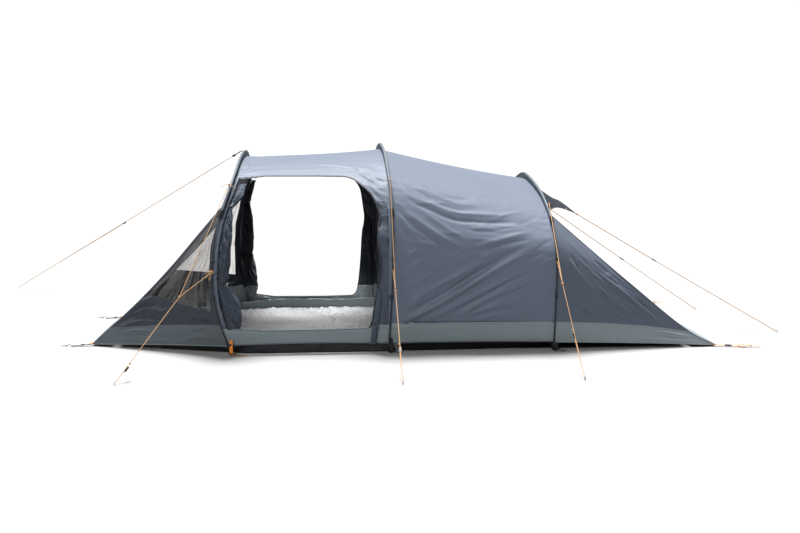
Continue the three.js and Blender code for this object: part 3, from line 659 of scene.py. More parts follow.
# ------------------------------------------------------------------ sheets over a surface
# A surface is a function of (across, along), each 0 to 1, that gives points.
def signed_distance(x, z, outline):
    """Distance to a closed outline (negative inside) and the nearest point on it."""
    outline = np.asarray(outline, float)
    best = np.full(np.shape(x), 1e9)
    best_x, best_z = np.zeros(np.shape(x)), np.zeros(np.shape(x))
    inside = np.zeros(np.shape(x), bool)
    for start, end in zip(outline, np.roll(outline, -1, axis=0)):
        run = end - start
        _, near_x, near_z, dist = nearest_on(x, z, start, run, 1e-12)
        closer = dist < best
        best = np.where(closer, dist, best)
        best_x, best_z = np.where(closer, near_x, best_x), np.where(closer, near_z, best_z)
        if start[1] != end[1]:
            inside ^= (((start[1] > z) != (end[1] > z))
                       & (x < run[0] * (z - start[1]) / run[1] + start[0]))
    return np.where(inside, -best, best), best_x, best_z


def solve(surface, across, along, x, z, steps=8):
    """Newton steps to the parameters at which the surface has this x and z."""
    nudge = 1e-4
    for _ in range(steps):
        here = surface(across, along)

        def slope(moved, parameter):
            return (moved - here) / np.where(parameter + nudge > 1, 1e9, nudge)[..., None]

        by_across = slope(surface(np.clip(across + nudge, 0, 1), along), across)
        by_along = slope(surface(across, np.clip(along + nudge, 0, 1)), along)
        miss_x, miss_z = x - here[..., 0], z - here[..., 2]
        det = by_across[..., 0] * by_along[..., 2] - by_along[..., 0] * by_across[..., 2]
        det = np.where(np.abs(det) < 1e-6, 1e-6, det)
        step_across = (miss_x * by_along[..., 2] - by_along[..., 0] * miss_z) / det
        step_along = (by_across[..., 0] * miss_z - miss_x * by_across[..., 2]) / det
        across = np.clip(across + np.clip(step_across, -.03, .03), 0, 1)
        along = np.clip(along + np.clip(step_along, -.03, .03), 0, 1)
    return across, along


def panel(surface, rows, columns, looks, relief, outward, size, regions=(), cell=.011):
    """A sheet split along outlines in the X-Z plane into its sewn pieces.
    looks: label -> (piece name, material, inside material), or None for an opening.
    regions: (label, outline), with a third value, the sign of y, if on one wall only.
    relief gives the displacement, size the extent of the UV map, cell the snapping reach."""
    across, along = np.meshgrid(np.asarray(rows, float), np.asarray(columns, float),
                                indexing="ij")
    points = surface(across, along)
    fixed = np.zeros(across.shape, bool)
    distances = []
    for label, outline, *wall in regions:
        dist, near_x, near_z = signed_distance(points[..., 0], points[..., 2], outline)
        if wall:
            dist = np.where(points[..., 1] * wall[0] > 0, dist, 9.)
        # move the grid points next to the outline onto it
        close = (np.abs(dist) < cell * .75) & ~fixed
        if close.any():
            across[close], along[close] = solve(surface, across[close], along[close],
                                                near_x[close], near_z[close])
            points = surface(across, along)
            fixed |= close
        distances.append((label, np.where(close, 0., dist), dist))
    normals = np.cross(np.gradient(points, axis=0), np.gradient(points, axis=1))
    normals = normals / np.maximum(np.linalg.norm(normals, axis=2), 1e-12)[..., None]
    facing = np.sign((normals * outward(points)).sum(-1).mean()) or 1
    normals = normals * facing
    points = points + normals * relief(points, across, along)[..., None]
    quads = grid_quads(*across.shape)
    if facing < 0:
        quads = quads[:, ::-1]
    label_of = np.full(len(quads), "main", dtype=object)
    for label, snapped, raw in distances:
        total = snapped.ravel()[quads].sum(1)
        raw_total = raw.ravel()[quads].sum(1)
        label_of[(total < -1e-9) | ((np.abs(total) <= 1e-9) & (raw_total < 0))] = label
    flat = points.reshape(-1, 3)
    uv = np.stack([across * size[0], along * size[1]], -1)
    out = {}
    for label, look in looks.items():
        faces = quads[label_of == label]
        if look is None or not len(faces):
            continue
        # drop collapsed faces
        diagonals = flat[faces[:, 2]] - flat[faces[:, 0]], flat[faces[:, 3]] - flat[faces[:, 1]]
        faces = faces[np.linalg.norm(np.cross(*diagonals), axis=1) > 1e-9]
        out[label] = make_part(look[0], flat, faces, look[1], uv, inside=look[2],
                               thickness=.0012)
    return out


def from_axis(points):
    """Direction away from the middle line of the tent."""
    away = points.copy()
    away[..., 0] = 0
    away[..., 2] -= .45
    return away


def toward_x(direction):
    def outward(points):
        away = points * 0
        away[..., 0] = direction
        away[..., 2] = .6
        return away
    return outward


def point_and_normal(surface, across, along):
    """Points of a surface with their normals out of the tent."""
    nudge = 2e-3
    points = surface(across, along)
    normals = np.cross(
        surface(np.clip(across + nudge, 0, 1), along)
        - surface(np.clip(across - nudge, 0, 1), along),
        surface(across, np.clip(along + nudge, 0, 1))
        - surface(across, np.clip(along - nudge, 0, 1)))
    normals /= np.maximum(np.linalg.norm(normals, axis=1), 1e-9)[:, None]
    normals *= np.sign((normals * from_axis(points)).sum(1))[:, None]
    return points, normals


def wall_line(surface, xz, sign, lift=0.):
    """Points and normals on a side wall that follow a line given in X and Z."""
    xz = np.array(xz, float)
    across, along = solve(surface, np.full(len(xz), .18), np.full(len(xz), .5),
                          xz[:, 0], xz[:, 1], steps=40)
    points, normals = point_and_normal(surface, across, along)
    points = points + normals * lift
    return points * mirror(sign), normals * mirror(sign)


# ------------------------------------------------------------------ the two bays between the hoops
PORCH_SIZE, BED_SIZE = (3.6, 1.12), (3.55, 1.15)  # arc over the hoops, length between them


def bay(first, second, sag, lift):
    """Surface between two hoop lines that sags between them and lifts at its feet."""
    def surface(across, along):
        line = (line_at(first, across) * (1 - along)[..., None]
                + line_at(second, across) * along[..., None])
        between = 4 * along * (1 - along)
        top = np.sin(np.pi * np.clip(across, 0, 1))
        foot = 1 - np.clip(np.minimum(across, 1 - across) / .06, 0, 1)
        points = line.copy()
        points[..., 2] += -sag * between * top * top + lift * between * foot
        points[..., 1] -= np.sign(line[..., 1]) * sag * .7 * between * (1 - top * top)
        return points
    return surface


porch_surface = bay(fabric_line("front", CLOTH_GAP), fabric_line("mid", -CLOTH_GAP), .013, .008)
bed_surface = bay(fabric_line("mid", CLOTH_GAP), fabric_line("rear", -CLOTH_GAP), .015, .004)

# large folds of the bedroom walls: line (x, z), height, width.
# The first 12 climb or lie level and the next 7 fan from the head of the middle hoop;
# the far wall uses its own copies of these 19.
BED_FOLDS = [
    ([(.06, .215), (.24, .3), (.391, .382), (.655, .543), (.846, .646), (1.08, .752)], .0125, .026),
    ([(.11, .262), (.39, .43), (.616, .572), (.833, .694), (1.05, .79)], -.0085, .018),
    ([(.117, .341), (.351, .484), (.559, .597), (.76, .7)], .006, .024),
    ([(.224, .226), (.507, .356), (.752, .48), (.942, .569), (1.08, .64)], .0065, .02),
    ([(.432, .28), (.658, .408), (.833, .502), (1.075, .612)], -.0075, .014),
    ([(.48, .262), (.69, .378), (.886, .462), (1.06, .528)], .0055, .014),
    ([(.509, .255), (.716, .372), (.89, .444), (1.06, .505)], -.0055, .013),
    ([(.509, .25), (.757, .33), (.985, .372)], .005, .016),
    ([(.587, .232), (.759, .262), (.975, .262)], .004, .013),
    ([(.52, .238), (.7, .286), (.96, .318)], -.0035, .011),
    ([(.56, .735), (.812, .8), (1.05, .85)], .0065, .022),
    ([(.56, .705), (.812, .762), (1.041, .8)], -.005, .015),
    ([(.055, 1.165), (.165, 1.085), (.288, 1.035), (.439, .978), (.633, .955), (.984, .942)],
     .0085, .021),
    ([(.055, 1.14), (.165, 1.05), (.288, .995), (.439, .93), (.633, .908), (1, .9)], -.009, .016),
    ([(.07, 1.215), (.221, 1.14), (.343, 1.085), (.486, 1.03), (.7, 1.012)], .0055, .02),
    ([(.079, 1.19), (.221, 1.108), (.343, 1.04), (.486, .986), (.643, .972)], -.0045, .015),
    ([(.03, 1.06), (.148, .96), (.278, .868), (.39, .795), (.545, .722)], .008, .022),
    ([(.038, 1.025), (.148, .905), (.278, .812), (.39, .742), (.54, .676)], -.008, .016),
    ([(.046, 1), (.119, .89), (.215, .776)], .005, .02),
    ([(.04, .96), (.1, .85), (.18, .76)], -.0045, .016),
    ([(.156, 1.06), (.303, .935), (.489, .815), (.59, .77)], .005, .018),
    ([(.095, 1.262), (.336, 1.198), (.557, 1.15), (.8, 1.066)], .0035, .028),
    ([(.11, .69), (.16, .708), (.205, .735)], .0065, .016),
    ([(.14, .615), (.19, .64), (.235, .655)], .006, .014),
    ([(.1, .65), (.17, .668), (.24, .69)], -.004, .014),
    ([(.29, .59), (.388, .622)], .0045, .014),
    ([(.3, .56), (.4, .59)], -.003, .013),
    ([(.54, .864), (.66, .868), (.78, .856)], .004, .013),
    ([(.54, .842), (.66, .842), (.78, .836)], -.0035, .011),
    ([(.52, .8), (.64, .794), (.74, .79)], .0032, .012),
    ([(.08, .44), (.22, .52), (.4, .6)], .0035, .02),
    ([(.2, .38), (.33, .45), (.48, .54)], -.003, .016)]
CLIMBING, FANNED = BED_FOLDS[:12], BED_FOLDS[12:19]
FAR_FOLDS = [([(1.15 - x + .02 * math.sin(k), z + .02 * math.cos(3 * k)) for x, z in line],
              height, width) for k, (line, height, width) in enumerate(CLIMBING)]
FAR_FOLDS += [([(x, z - .03 + .02 * math.sin(2 * k)) for x, z in line], height, width)
              for k, (line, height, width) in enumerate(FANNED)]


def bed_angle(x, z):
    """Folds drop from the head of the middle hoop, and climb from its foot to the rear hoop."""
    low, high = 29., -34. + 38. * min(1., x / .7)
    part = min(1., max(0., (z - .62) / .22))
    return low * (1 - part) + high * part


SMALL_BED = strewn(5, 64, (.04, 1.1, .24, 1.16), bed_angle, spread=7,
                   length=(.12, .34), height=(.0016, .0036), width=(.006, .012))
SMALL_FAR = strewn(6, 40, (.04, 1.1, .24, 1.16), bed_angle, spread=9,
                   length=(.12, .34), height=(.0016, .0036), width=(.007, .012))


def bed_relief(points, across, along):
    x, y, z = np.moveaxis(points, -1, 0)
    near = folds(x, z, SMALL_BED)
    for line, height, width in BED_FOLDS:
        if line[0][1] < .46 and line[-1][1] < .8:
            near += fold(x, z, line, height * 2.5, width * .78, taper=.12, end_taper=.6)
        else:
            near += fold(x, z, line, height, width * .74)
    far = folds(x, z, FAR_FOLDS, height_scale=.8) + folds(x, z, SMALL_FAR)
    # the folds fade out over the roof
    wall = np.clip((np.abs(y) - .72) / .12, 0, 1)
    relief = np.where(y < 0, near, far) * wall
    to_hoop = np.minimum(along, 1 - along)
    edge = np.clip(to_hoop / .02, 0, 1)
    arc = across * BED_SIZE[0]
    # taut along the roof, faint tension lines running between the hoops
    between = np.sin(np.pi * along)
    relief += .0016 * noise(x * 1.2 + 3, arc * 9, 5) * between
    relief += .0013 * noise(x * 2.0, arc * 24, 6) * between * (1 - .5 * wall)
    # small puckers along the sleeves
    relief += .0040 * np.exp(-to_hoop / .05) * noise(arc * 34, x * 4, 8) * edge
    relief += .0012 * fbm(x * 9, arc * 9, 9, 3) * wall
    # gathers where the mud wall is sewn on, and down the mud wall itself
    low = np.exp(-((z - .20) / .05) ** 2) + .8 * np.clip((.20 - z) / .03, 0, 1)
    relief += .0016 * low * noise(x * 7, z * 62, 10)
    return relief * edge


# pull lines from the head of each door to the middle hoop
HEAD_PULLS = [([(-.52 + .014 * k, 1.3 - .003 * k), (-.3 + .016 * k, 1.288 - .012 * k),
                (-.13 + .006 * k, 1.262 - .03 * k), (-.012, 1.222 - .044 * k)],
               .0052 * (1 if k % 2 == 0 else -.9), .0062 + .0004 * k) for k in range(9)]
HEAD_PULLS += [([(-.16 + .004 * k, 1.18 - .034 * k), (-.09, 1.128 - .036 * k),
                 (-.01, 1.085 - .034 * k)], .0042 * (-1) ** k, .0062) for k in range(7)]
SMALL_PORCH = strewn(9, 46, (-.36, -.01, .98, 1.3),
                     lambda x, z: -24 - 40 * max(0., 1.2 - z), spread=8,
                     length=(.06, .2), height=(.0016, .0034), width=(.0042, .0075))


def fan(x, z, center, count, first, step, reach, height, width):
    """Creases that spread from a point; angles in degrees, reach in x and z."""
    total = np.zeros(x.shape)
    for k in range(count):
        turn = math.radians(first + step * k)
        tip = (center[0] + reach[0] * math.cos(turn), center[1] + reach[1] * math.sin(turn))
        total += fold(x, z, [center, tip], height * (-1) ** k, width)
    return total


def porch_relief(points, across, along):
    x, _, z = np.moveaxis(points, -1, 0)
    arc = across * PORCH_SIZE[0]
    to_hoop = np.minimum(along, 1 - along)
    relief = .0016 * noise(x * 1.6 + 9, arc * 8, 15) * np.sin(np.pi * along)
    relief += .0013 * noise(x * 3.0, arc * 26, 16)
    relief += folds(x, z, HEAD_PULLS, taper=.25) + folds(x, z, SMALL_PORCH)
    # crumpled strip beside the middle hoop, with one bulge over one hollow
    strip = (np.clip((x + .125) / .02, 0, 1) * np.clip((-.004 - x) / .02, 0, 1)
             * np.clip((1.02 - z) / .08, 0, 1))
    relief += strip * (.0150 * crumple(x * 12 + 3, z * 11, 21, 3) - .004)
    relief += strip * .020 * np.exp(-((z - .815) / .055) ** 2) * np.clip((x + .11) / .05, 0, 1)
    relief -= strip * .014 * np.exp(-((z - .62) / .12) ** 2)
    # small puckers along the sleeves
    relief += .0036 * np.exp(-to_hoop / .05) * noise(arc * 34, x * 4, 18)
    # at the crown beside the front hoop, and at the door's upper corner below it
    relief += fan(x, z, (-1.03, 1.352), count=6, first=-62, step=21, reach=(.16, .12),
                  height=.0034, width=.009)
    relief += fan(x, z, (-1.03, 1.236), count=7, first=8, step=13, reach=(.15, .13),
                  height=.0030, width=.007)
    low = .8 * np.clip((.18 - z) / .03, 0, 1)
    relief += .0016 * low * noise(x * 7, z * 62, 19)
    return relief * np.clip(to_hoop / .02, 0, 1)


def foot_rows(steps, seam=.10):
    """Positions over the arch, with extra rows near both feet."""
    return np.r_[np.linspace(0, seam, 24)[:-1], np.linspace(seam, 1 - seam, steps),
                 np.linspace(1 - seam, 1, 24)[1:]]


def cut_corners(outline):
    outline = np.array(outline)
    after = np.roll(outline, -1, axis=0)
    pairs = np.stack([outline * .75 + after * .25, outline * .25 + after * .75], 1)
    return pairs.reshape(-1, 2)


DOOR_OUTLINES = {tag: cut_corners(outline) for tag, outline in DOORS.items()}


def build_bays():
    doors = [("door", outline, SIDES[tag]) for tag, outline in DOOR_OUTLINES.items()]
    porch = panel(porch_surface, foot_rows(330), np.linspace(0, 1, 112),
                  {"main": ("fly_porch_cloth", "fly", "fly_in"), "door": None,
                   "mud": ("mudwall_porch", "mud", "mud_in"),
                   "strip": ("storm_strip", "door", "fly_in")},
                  porch_relief, from_axis, PORCH_SIZE,
                  regions=[("mud", MUD_PORCH), ("strip", STRIP)] + doors)
    bed = panel(bed_surface, foot_rows(340), np.linspace(0, 1, 118),
                {"main": ("fly_bedroom_cloth", "fly", "fly_in"),
                 "mud": ("mudwall_bedroom", "mud", "mud_in")},
                bed_relief, from_axis, BED_SIZE, regions=[("mud", MUD_BED)])
    spans(porch["main"], "fly_porch")
    spans(porch["mud"])
    spans(porch["strip"])
    spans(bed["main"], "fly_bedroom")
    spans(bed["mud"])


def recolour_low(piece, material):
    """Gives the part over the mud wall another material."""
    piece.data.materials.append(MATERIALS[material])
    for face in piece.data.polygons:
        if face.center.z < .185:
            face.material_index = 1


def build_zips_and_seams():
    for tag, outline in DOOR_OUTLINES.items():
        sign = SIDES[tag]
        # the zip runs along the sill, up beside the middle hoop and over the head
        from_corner = np.hypot(outline[:, 0] + 1.10, outline[:, 1] - outline[:, 1].min())
        outline = np.roll(outline, -int(np.argmin(from_corner)), axis=0)
        stop = int(np.argmax((outline[:, 1] > 1.19) & (outline[:, 0] < -.98)))
        line, normals = wall_line(porch_surface, even(outline[:stop + 1], 200), sign)
        # the tape shares the front end's dark cloth, painted shade included
        tape = strap(line, .013, .0038, "fly_dark_with_painted_shade", ups=normals, name="door_zip_" + tag)
        recolour_low(tape, "mud")
        spans(tape)
        coil = tube(line + normals * .0022, .0018, "plastic", sides=6, name="door_zip_coil_" + tag)
        # the coil's low part takes the front mud wall's colour, with its painted shade
        recolour_low(coil, "mud_front_painted_shade")
        spans(coil)
        # seam between the wall and the mud wall: surface, x from, x to, height
        for name, surface, start, end, height, span in (
                ("bedroom", bed_surface, .004, 1.148, .2085, BED_SPAN),
                ("porch_a", porch_surface, -.108, -.004, .202, PORCH_SPAN)):
            xz = np.c_[np.linspace(start, end, 60), np.full(60, height)]
            line, normals = wall_line(surface, xz, sign, .0012)
            seam = strap(line, .010, .0016, "mud", ups=normals, name=f"seam_{name}_{tag}")
            spans(seam)


# ------------------------------------------------------------------ tapering ends
# folds of the tapering ends: line (x, z), height, width
REAR_FOLDS = [
    ([(1.4, .61), (1.599, .455), (1.771, .328), (1.97, .15)], .005, .014),
    ([(1.417, .58), (1.599, .43), (1.771, .3), (1.94, .15)], -.005, .01),
    ([(1.423, .5), (1.574, .362), (1.747, .24)], .0045, .013),
    ([(1.423, .475), (1.574, .338), (1.747, .215)], -.0045, .01),
    ([(1.444, .423), (1.639, .3), (1.834, .19)], .004, .012),
    ([(1.444, .365), (1.596, .262), (1.747, .185)], .0042, .012),
    ([(1.43, .34), (1.58, .24), (1.7, .188)], -.004, .01),
    ([(1.3, .29), (1.425, .244), (1.54, .2)], .0045, .013),
    ([(1.32, .31), (1.43, .262), (1.52, .222)], -.0038, .01),
    ([(1.264, .7), (1.305, .622), (1.35, .535)], -.005, .011),
    ([(1.249, .66), (1.29, .6), (1.325, .55)], .0042, .011),
    ([(1.22, .82), (1.33, .7), (1.48, .56)], .003, .018),
    ([(1.481, .54), (1.642, .428), (1.856, .24), (2.06, .13)], .003, .012),
    ([(1.856, .128), (2, .108), (2.19, .07)], .005, .009),
    ([(1.813, .1), (2, .08), (2.178, .05)], -.0045, .008),
    ([(1.7, .08), (1.95, .062), (2.2, .035)], .004, .009),
    ([(1.18, .9), (1.23, .76), (1.25, .6)], .0035, .015)]
FRONT_FOLDS = [
    ([(-1.87, .262), (-1.735, .345), (-1.589, .385)], .0075, .015),
    ([(-1.85, .245), (-1.72, .315), (-1.56, .345)], -.007, .012),
    ([(-1.829, .23), (-1.704, .29), (-1.6, .29), (-1.48, .262)], .007, .014),
    ([(-1.88, .2), (-1.755, .25), (-1.632, .235)], -.0065, .012),
    ([(-1.911, .167), (-1.735, .205), (-1.452, .205)], .0065, .013),
    ([(-1.964, .116), (-1.828, .178), (-1.735, .205)], .0045, .01),
    ([(-1.95, .1), (-1.757, .139), (-1.595, .135)], .006, .01),
    ([(-1.995, .072), (-1.861, .093), (-1.657, .102), (-1.45, .1)], -.005, .009),
    ([(-1.98, .055), (-1.8, .065), (-1.5, .07)], .0045, .009),
    ([(-1.44, .3), (-1.33, .262), (-1.22, .258)], .0055, .016),
    ([(-1.5, .262), (-1.36, .235), (-1.22, .236)], -.005, .012),
    ([(-1.725, .372), (-1.589, .47), (-1.443, .58), (-1.3, .73), (-1.19, .85)], .005, .01),
    ([(-1.7, .388), (-1.56, .47), (-1.4, .575), (-1.27, .7), (-1.2, .79)], -.0045, .009),
    ([(-1.683, .385), (-1.505, .492), (-1.381, .6), (-1.24, .76)], .004, .009),
    ([(-1.64, .384), (-1.48, .47), (-1.33, .59)], -.0035, .009),
    ([(-1.74, .33), (-1.56, .44), (-1.47, .5)], .004, .01)]
SMALL_REAR = [row for row in strewn(21, 64, (1.28, 2.05, .2, .66),
                                    lambda x, z: -40 + 3 * (x - 1.6), spread=3,
                                    length=(.12, .34), height=(.0032, .0066), width=(.006, .0095))
              if row[0][1][1] < .86 - .66 * (row[0][1][0] - 1.15)]  # below the sloping ridge
SMALL_FRONT = strewn(22, 30, (-1.95, -1.22, .1, .34), lambda x, z: 14 + 16 * (z > .22),
                     spread=9, length=(.12, .34), height=(.003, .0064), width=(.0075, .013))

# ridge: points from the lower corner up, short of the hoop; shoulder: height where it meets
# the hoop; mud, mud_height: mud wall on the sides and on the end; seam, guess: the points of
# its upper edge that get a seam, and first guesses for their place from hoop to ridge
ENDS = {
    "front": dict(
        direction=-1, shoulder=1.048,
        ridge=[CORNERS["front"][0], (-1.781, -.67, .318), (-1.519, -.78, .586),
               (-1.31, -.87, .824)],
        # the front end's cloth and mud wall colours carry painted shade
        cloth="fly_dark_with_painted_shade", mud_cloth="mud_front_painted_shade", upper=("fly_dark_with_painted_shade", "fly_in"),
        mud=MUD_FRONT, mud_height=.16, seam=MUD_FRONT[3:8], guess=(.05, .95),
        folds=FRONT_FOLDS, small=SMALL_FRONT, fold_scale=1.5, seed=40, flat_seed=71,
        columns=130, size=(.9, 1.1)),
    "rear": dict(
        direction=1, shoulder=.958,
        ridge=[CORNERS["rear"][0], (2.173, -.95, .106), (1.721, -.93, .464)],
        # the rear end's cloth carries painted shade
        cloth="fly_rear_painted_shade", mud_cloth="mud", upper=("mesh", "mesh"),
        mud=MUD_REAR, mud_height=.12, seam=MUD_REAR[4:8], guess=(.95, .05),
        folds=REAR_FOLDS, small=SMALL_REAR, fold_scale=1.45, seed=60, flat_seed=81,
        columns=150, size=(1.2, 1.1))}


def end_surfaces(name):
    """Side wall, sloping end and upper panel of one tapering end, and its near ridge."""
    spec = ENDS[name]
    direction, shoulder = spec["direction"], spec["shoulder"]
    line = fabric_line(name, CLOTH_GAP * direction)
    half = line[:MIDDLE + 1]
    k = int(np.argmax(half[:, 2] >= shoulder))
    part = (shoulder - half[k - 1, 2]) / (half[k, 2] - half[k - 1, 2])
    top = half[k - 1] * (1 - part) + half[k] * part
    edge = even(np.vstack([half[:k], top]), 200)
    ridge = even(spline(spec["ridge"] + [tuple(top)]), 200)
    far_ridge = ridge * mirror(1)

    def side(across, along):  # hoop to ridge, foot to shoulder
        between = 4 * across * (1 - across)
        points = (line_at(edge, along) * (1 - across)[..., None]
                  + line_at(ridge, along) * across[..., None])
        points[..., 2] += .005 * between * np.clip(1 - along / .12, 0, 1)
        points[..., 1] += .010 * between * np.sin(np.pi * along)
        return points

    def end(across, along):  # near ridge to far ridge, foot to shoulder
        between = 4 * across * (1 - across)
        points = (line_at(ridge, along) * (1 - across)[..., None]
                  + line_at(far_ridge, along) * across[..., None])
        points[..., 2] -= .022 * between * np.sin(np.pi * along)
        low = np.clip(1 - along / .10, 0, 1)
        points[..., 2] += .034 * between * low
        points[..., 0] -= direction * .020 * between * low
        return points

    crown = even(np.vstack([top, line[k:HOOP_STEPS + 1 - k], top * mirror(1)]), 200)
    base = end(np.linspace(0, 1, 201), np.ones(201))

    def upper(across, along):  # near to far, shoulder line up to the hoop
        return (line_at(base, across) * (1 - along)[..., None]
                + line_at(crown, across) * along[..., None])

    return {"side": side, "end": end, "upper": upper, "ridge": ridge}


SURFACES = {name: end_surfaces(name) for name in ENDS}


def side_relief(name, seed_shift=0):
    spec = ENDS[name]
    seed = spec["seed"] + seed_shift

    def relief(points, across, along):
        x, z = points[..., 0], points[..., 2]
        total = folds(x, z, spec["folds"], spec["fold_scale"], .74) + folds(x, z, spec["small"])
        total += .0012 * fbm(x * 8, z * 8, seed, 3)
        total += .0016 * np.exp(-across / .06) * noise(z * 26, x * 3, seed + 4)
        return total * np.clip(across / .03, 0, 1) * np.clip((1 - across) / .03, 0, 1)
    return relief


def flat_relief(seed, height=.003):
    """Broad waves and five long folds for the panels across the tent."""
    def relief(points, across, along):
        x, y = points[..., 0], points[..., 1]
        total = (height * noise(x * 2.2, y * 1.3, seed)
                 + height * .5 * noise(x * 5 + y * 2, y * 4, seed + 1))
        for k in range(5):
            center = (k - 2) * .16 * (1 - .5 * along) + .04 * np.sin(3 * along + k)
            total += (height * .8 * np.exp(-(np.abs((across - .5) - center) / .022) ** 1.7)
                      * (-1) ** k * np.sin(np.pi * along))
        return (total * np.clip(np.minimum(across, 1 - across) / .03, 0, 1)
                * np.clip(np.minimum(along, 1 - along) / .04, 0, 1))
    return relief


def end_line(name, xz, across, along, lift=0.):
    """Points and normals of a line on the near side wall, on top of its folds."""
    side = SURFACES[name]["side"]
    across, along = solve(side, across, along, xz[:, 0], xz[:, 1], steps=60)
    points, normals = point_and_normal(side, across, along)
    rise = side_relief(name)(points, across, along) + lift
    return points + normals * rise[:, None], normals


def build_end_sides():
    rows = np.r_[np.linspace(0, .2, 40)[:-1], np.linspace(.2, 1, 130)]
    for tag, sign in SIDES.items():
        for name, spec in ENDS.items():
            def surface(across, along):
                return SURFACES[name]["side"](across, along) * mirror(sign)

            looks = {"main": (f"{name}_side_{tag}", spec["cloth"], "fly_in"),
                     "mud": (f"{name}_mudwall_{tag}", spec["mud_cloth"], "mud_in")}
            regions = [("mud", spec["mud"])]
            if name == "front":
                looks["window"] = (f"window_film_{tag}", "film", None)
                regions.append(("window", WINDOW))
            out = panel(surface, np.linspace(0, 1, spec["columns"]), rows, looks,
                        side_relief(name, 7 * (tag == "far")), from_axis, spec["size"],
                        regions, cell=.0068)
            rides(clean(out["main"]), BODY[name],
                  f"fly_{name}_end" if tag == "near" else None)
            rides(clean(out["mud"]), BODY[name])
            if name == "front":
                rides(clean(out["window"]), BODY[name], "window_" + tag)


def build_end_panels():
    fine = np.linspace(0, 1, 110)
    for name, spec in ENDS.items():
        outward = toward_x(spec["direction"])
        top = spec["mud_height"]
        out = panel(SURFACES[name]["end"], fine, fine,
                    {"main": (name + "_end_panel", spec["cloth"], "fly_in"),
                     "mud": (name + "_end_mudwall", spec["mud_cloth"], "mud_in")},
                    flat_relief(spec["flat_seed"]), outward, (1.6, 1.2),
                    [("mud", [(-4, -.3), (4, -.3), (4, top), (-4, top)])], cell=.010)
        rides(clean(out["main"]), BODY[name])
        rides(clean(out["mud"]), BODY[name])
        out = panel(SURFACES[name]["upper"], fine, np.linspace(0, 1, 30),
                    {"main": (name + "_upper_panel", *spec["upper"])},
                    flat_relief(spec["flat_seed"] + 3, .002), outward, (1.6, .3))
        rides(clean(out["main"]), BODY[name])


def build_end_seams():
    """Piping along the ridges, the shoulder line and the ground hem, and the mud wall seam."""
    across = np.linspace(0, 1, 60)
    foot, top = across * 0, across * 0 + 1
    for name, spec in ENDS.items():
        shape = SURFACES[name]
        parts = []
        for sign in SIDES.values():
            # the ridge and shoulder piping takes the rear cloth's colour, painted shade included
            parts.append(tube(shape["ridge"][::4] * mirror(sign), .0030, "fly_rear_painted_shade", sides=6))
            parts.append(tube(shape["side"](across, foot) * mirror(sign), .0028, "mud_in",
                              sides=6))
        parts.append(tube(shape["end"](across, foot), .0028, "mud_in", sides=6))
        parts.append(tube(shape["end"](across, top), .0026, "fly_rear_painted_shade", sides=6))
        line, normals = end_line(name, even(spec["seam"], 90), np.linspace(*spec["guess"], 91),
                                 np.full(91, .15), lift=.0006)
        for sign in SIDES.values():
            parts.append(strap(line * mirror(sign), .009, .0022, spec["mud_cloth"],
                               ups=normals * mirror(sign)))
        rides(join(f"{name}_end_seams", parts), BODY[name])


def build_window_welts():
    """The sewn edge of each clear window."""
    for tag, sign in SIDES.items():
        outline = even(WINDOW + [WINDOW[0]], 160)[:-1]
        line, normals = end_line("front", outline, np.full(160, .3), np.full(160, .5))
        # the welt shares the front end's dark cloth, painted shade included
        welt = strap(line * mirror(sign), .012, .0030, "fly_dark_with_painted_shade", ups=normals * mirror(sign),
                     closed=True, name="window_welt_" + tag)
        rides(welt, "front_hoop")


# ------------------------------------------------------------------ vent hood
HOOD_TIPS = {"near": np.array([1.44, -.452, .934]), "far": np.array([1.452, .452, .918])}


def build_hood():
    high = HOOP["rear"][:, 2] > .985
    seam = even(HOOP["rear"][high] - NORMALS["rear"][high] * .004, 160)
    seam[:, 0] += .0175
    seam[:, 2] -= .055 * np.sin(np.pi * np.linspace(0, 1, 161)) ** 2
    # free edge: fraction where each run starts, its share, its ends, and its bulge
    runs = [(0, .25, seam[0], HOOD_TIPS["near"], np.array([-.022, .018, .026])),
            (.25, .5, HOOD_TIPS["near"], HOOD_TIPS["far"], np.array([-.062, 0, .092])),
            (.75, .25, HOOD_TIPS["far"], seam[-1], np.array([-.022, -.018, .026]))]
    free_edge = np.zeros((161, 3))
    for i, fraction in enumerate(np.linspace(0, 1, 161)):
        run = 0 if fraction < .25 else 1 if fraction <= .75 else 2
        first, share, start, end, bulge = runs[run]
        part = (fraction - first) / share
        free_edge[i] = start * (1 - part) + end * part + bulge * math.sin(math.pi * part)

    def surface(across, along):
        points = (line_at(seam, across) * (1 - along)[..., None]
                  + line_at(free_edge, across) * along[..., None])
        points[..., 2] -= .006 * np.sin(np.pi * along) * np.sin(np.pi * across)
        return points

    def relief(points, across, along):
        total = .0030 * fbm(across * 9, along * 3, 91, 3)
        for k, start in enumerate((.18, .25, .32, .68, .75, .82)):
            center = start + (.5 - start) * .25 * (1 - along)
            total += (.0045 * np.exp(-np.abs((across - center) / .012) ** 1.6)
                      * (-1) ** k * along)
        return total * np.clip(along / .06, 0, 1)

    # the outer face carries painted shade
    out = panel(surface, np.linspace(0, 1, 150), np.linspace(0, 1, 46),
                {"main": ("vent_hood_cloth", "hood_top_painted_shade", "hood")},
                relief, toward_x(.6), (2.1, .4))
    hem = tube(free_edge, .0032, "hood", sides=6)
    binding = strap(seam[2:-2], .022, .0022, "hood", ups=X_AXIS)
    hood = join("vent_hood_cloth", [clean(out["main"]), hem, binding])
    spans(hood, "vent_hood")


# ------------------------------------------------------------------ poles, sleeves, hoop fittings
POLE_START = .012  # where the rod begins, along the hoop line
SLEEVE_FOOT = {"front": .95, "mid": .95, "rear": .9}  # height of the sleeve ends
STANDING = (X_AXIS, Y_AXIS, UP)


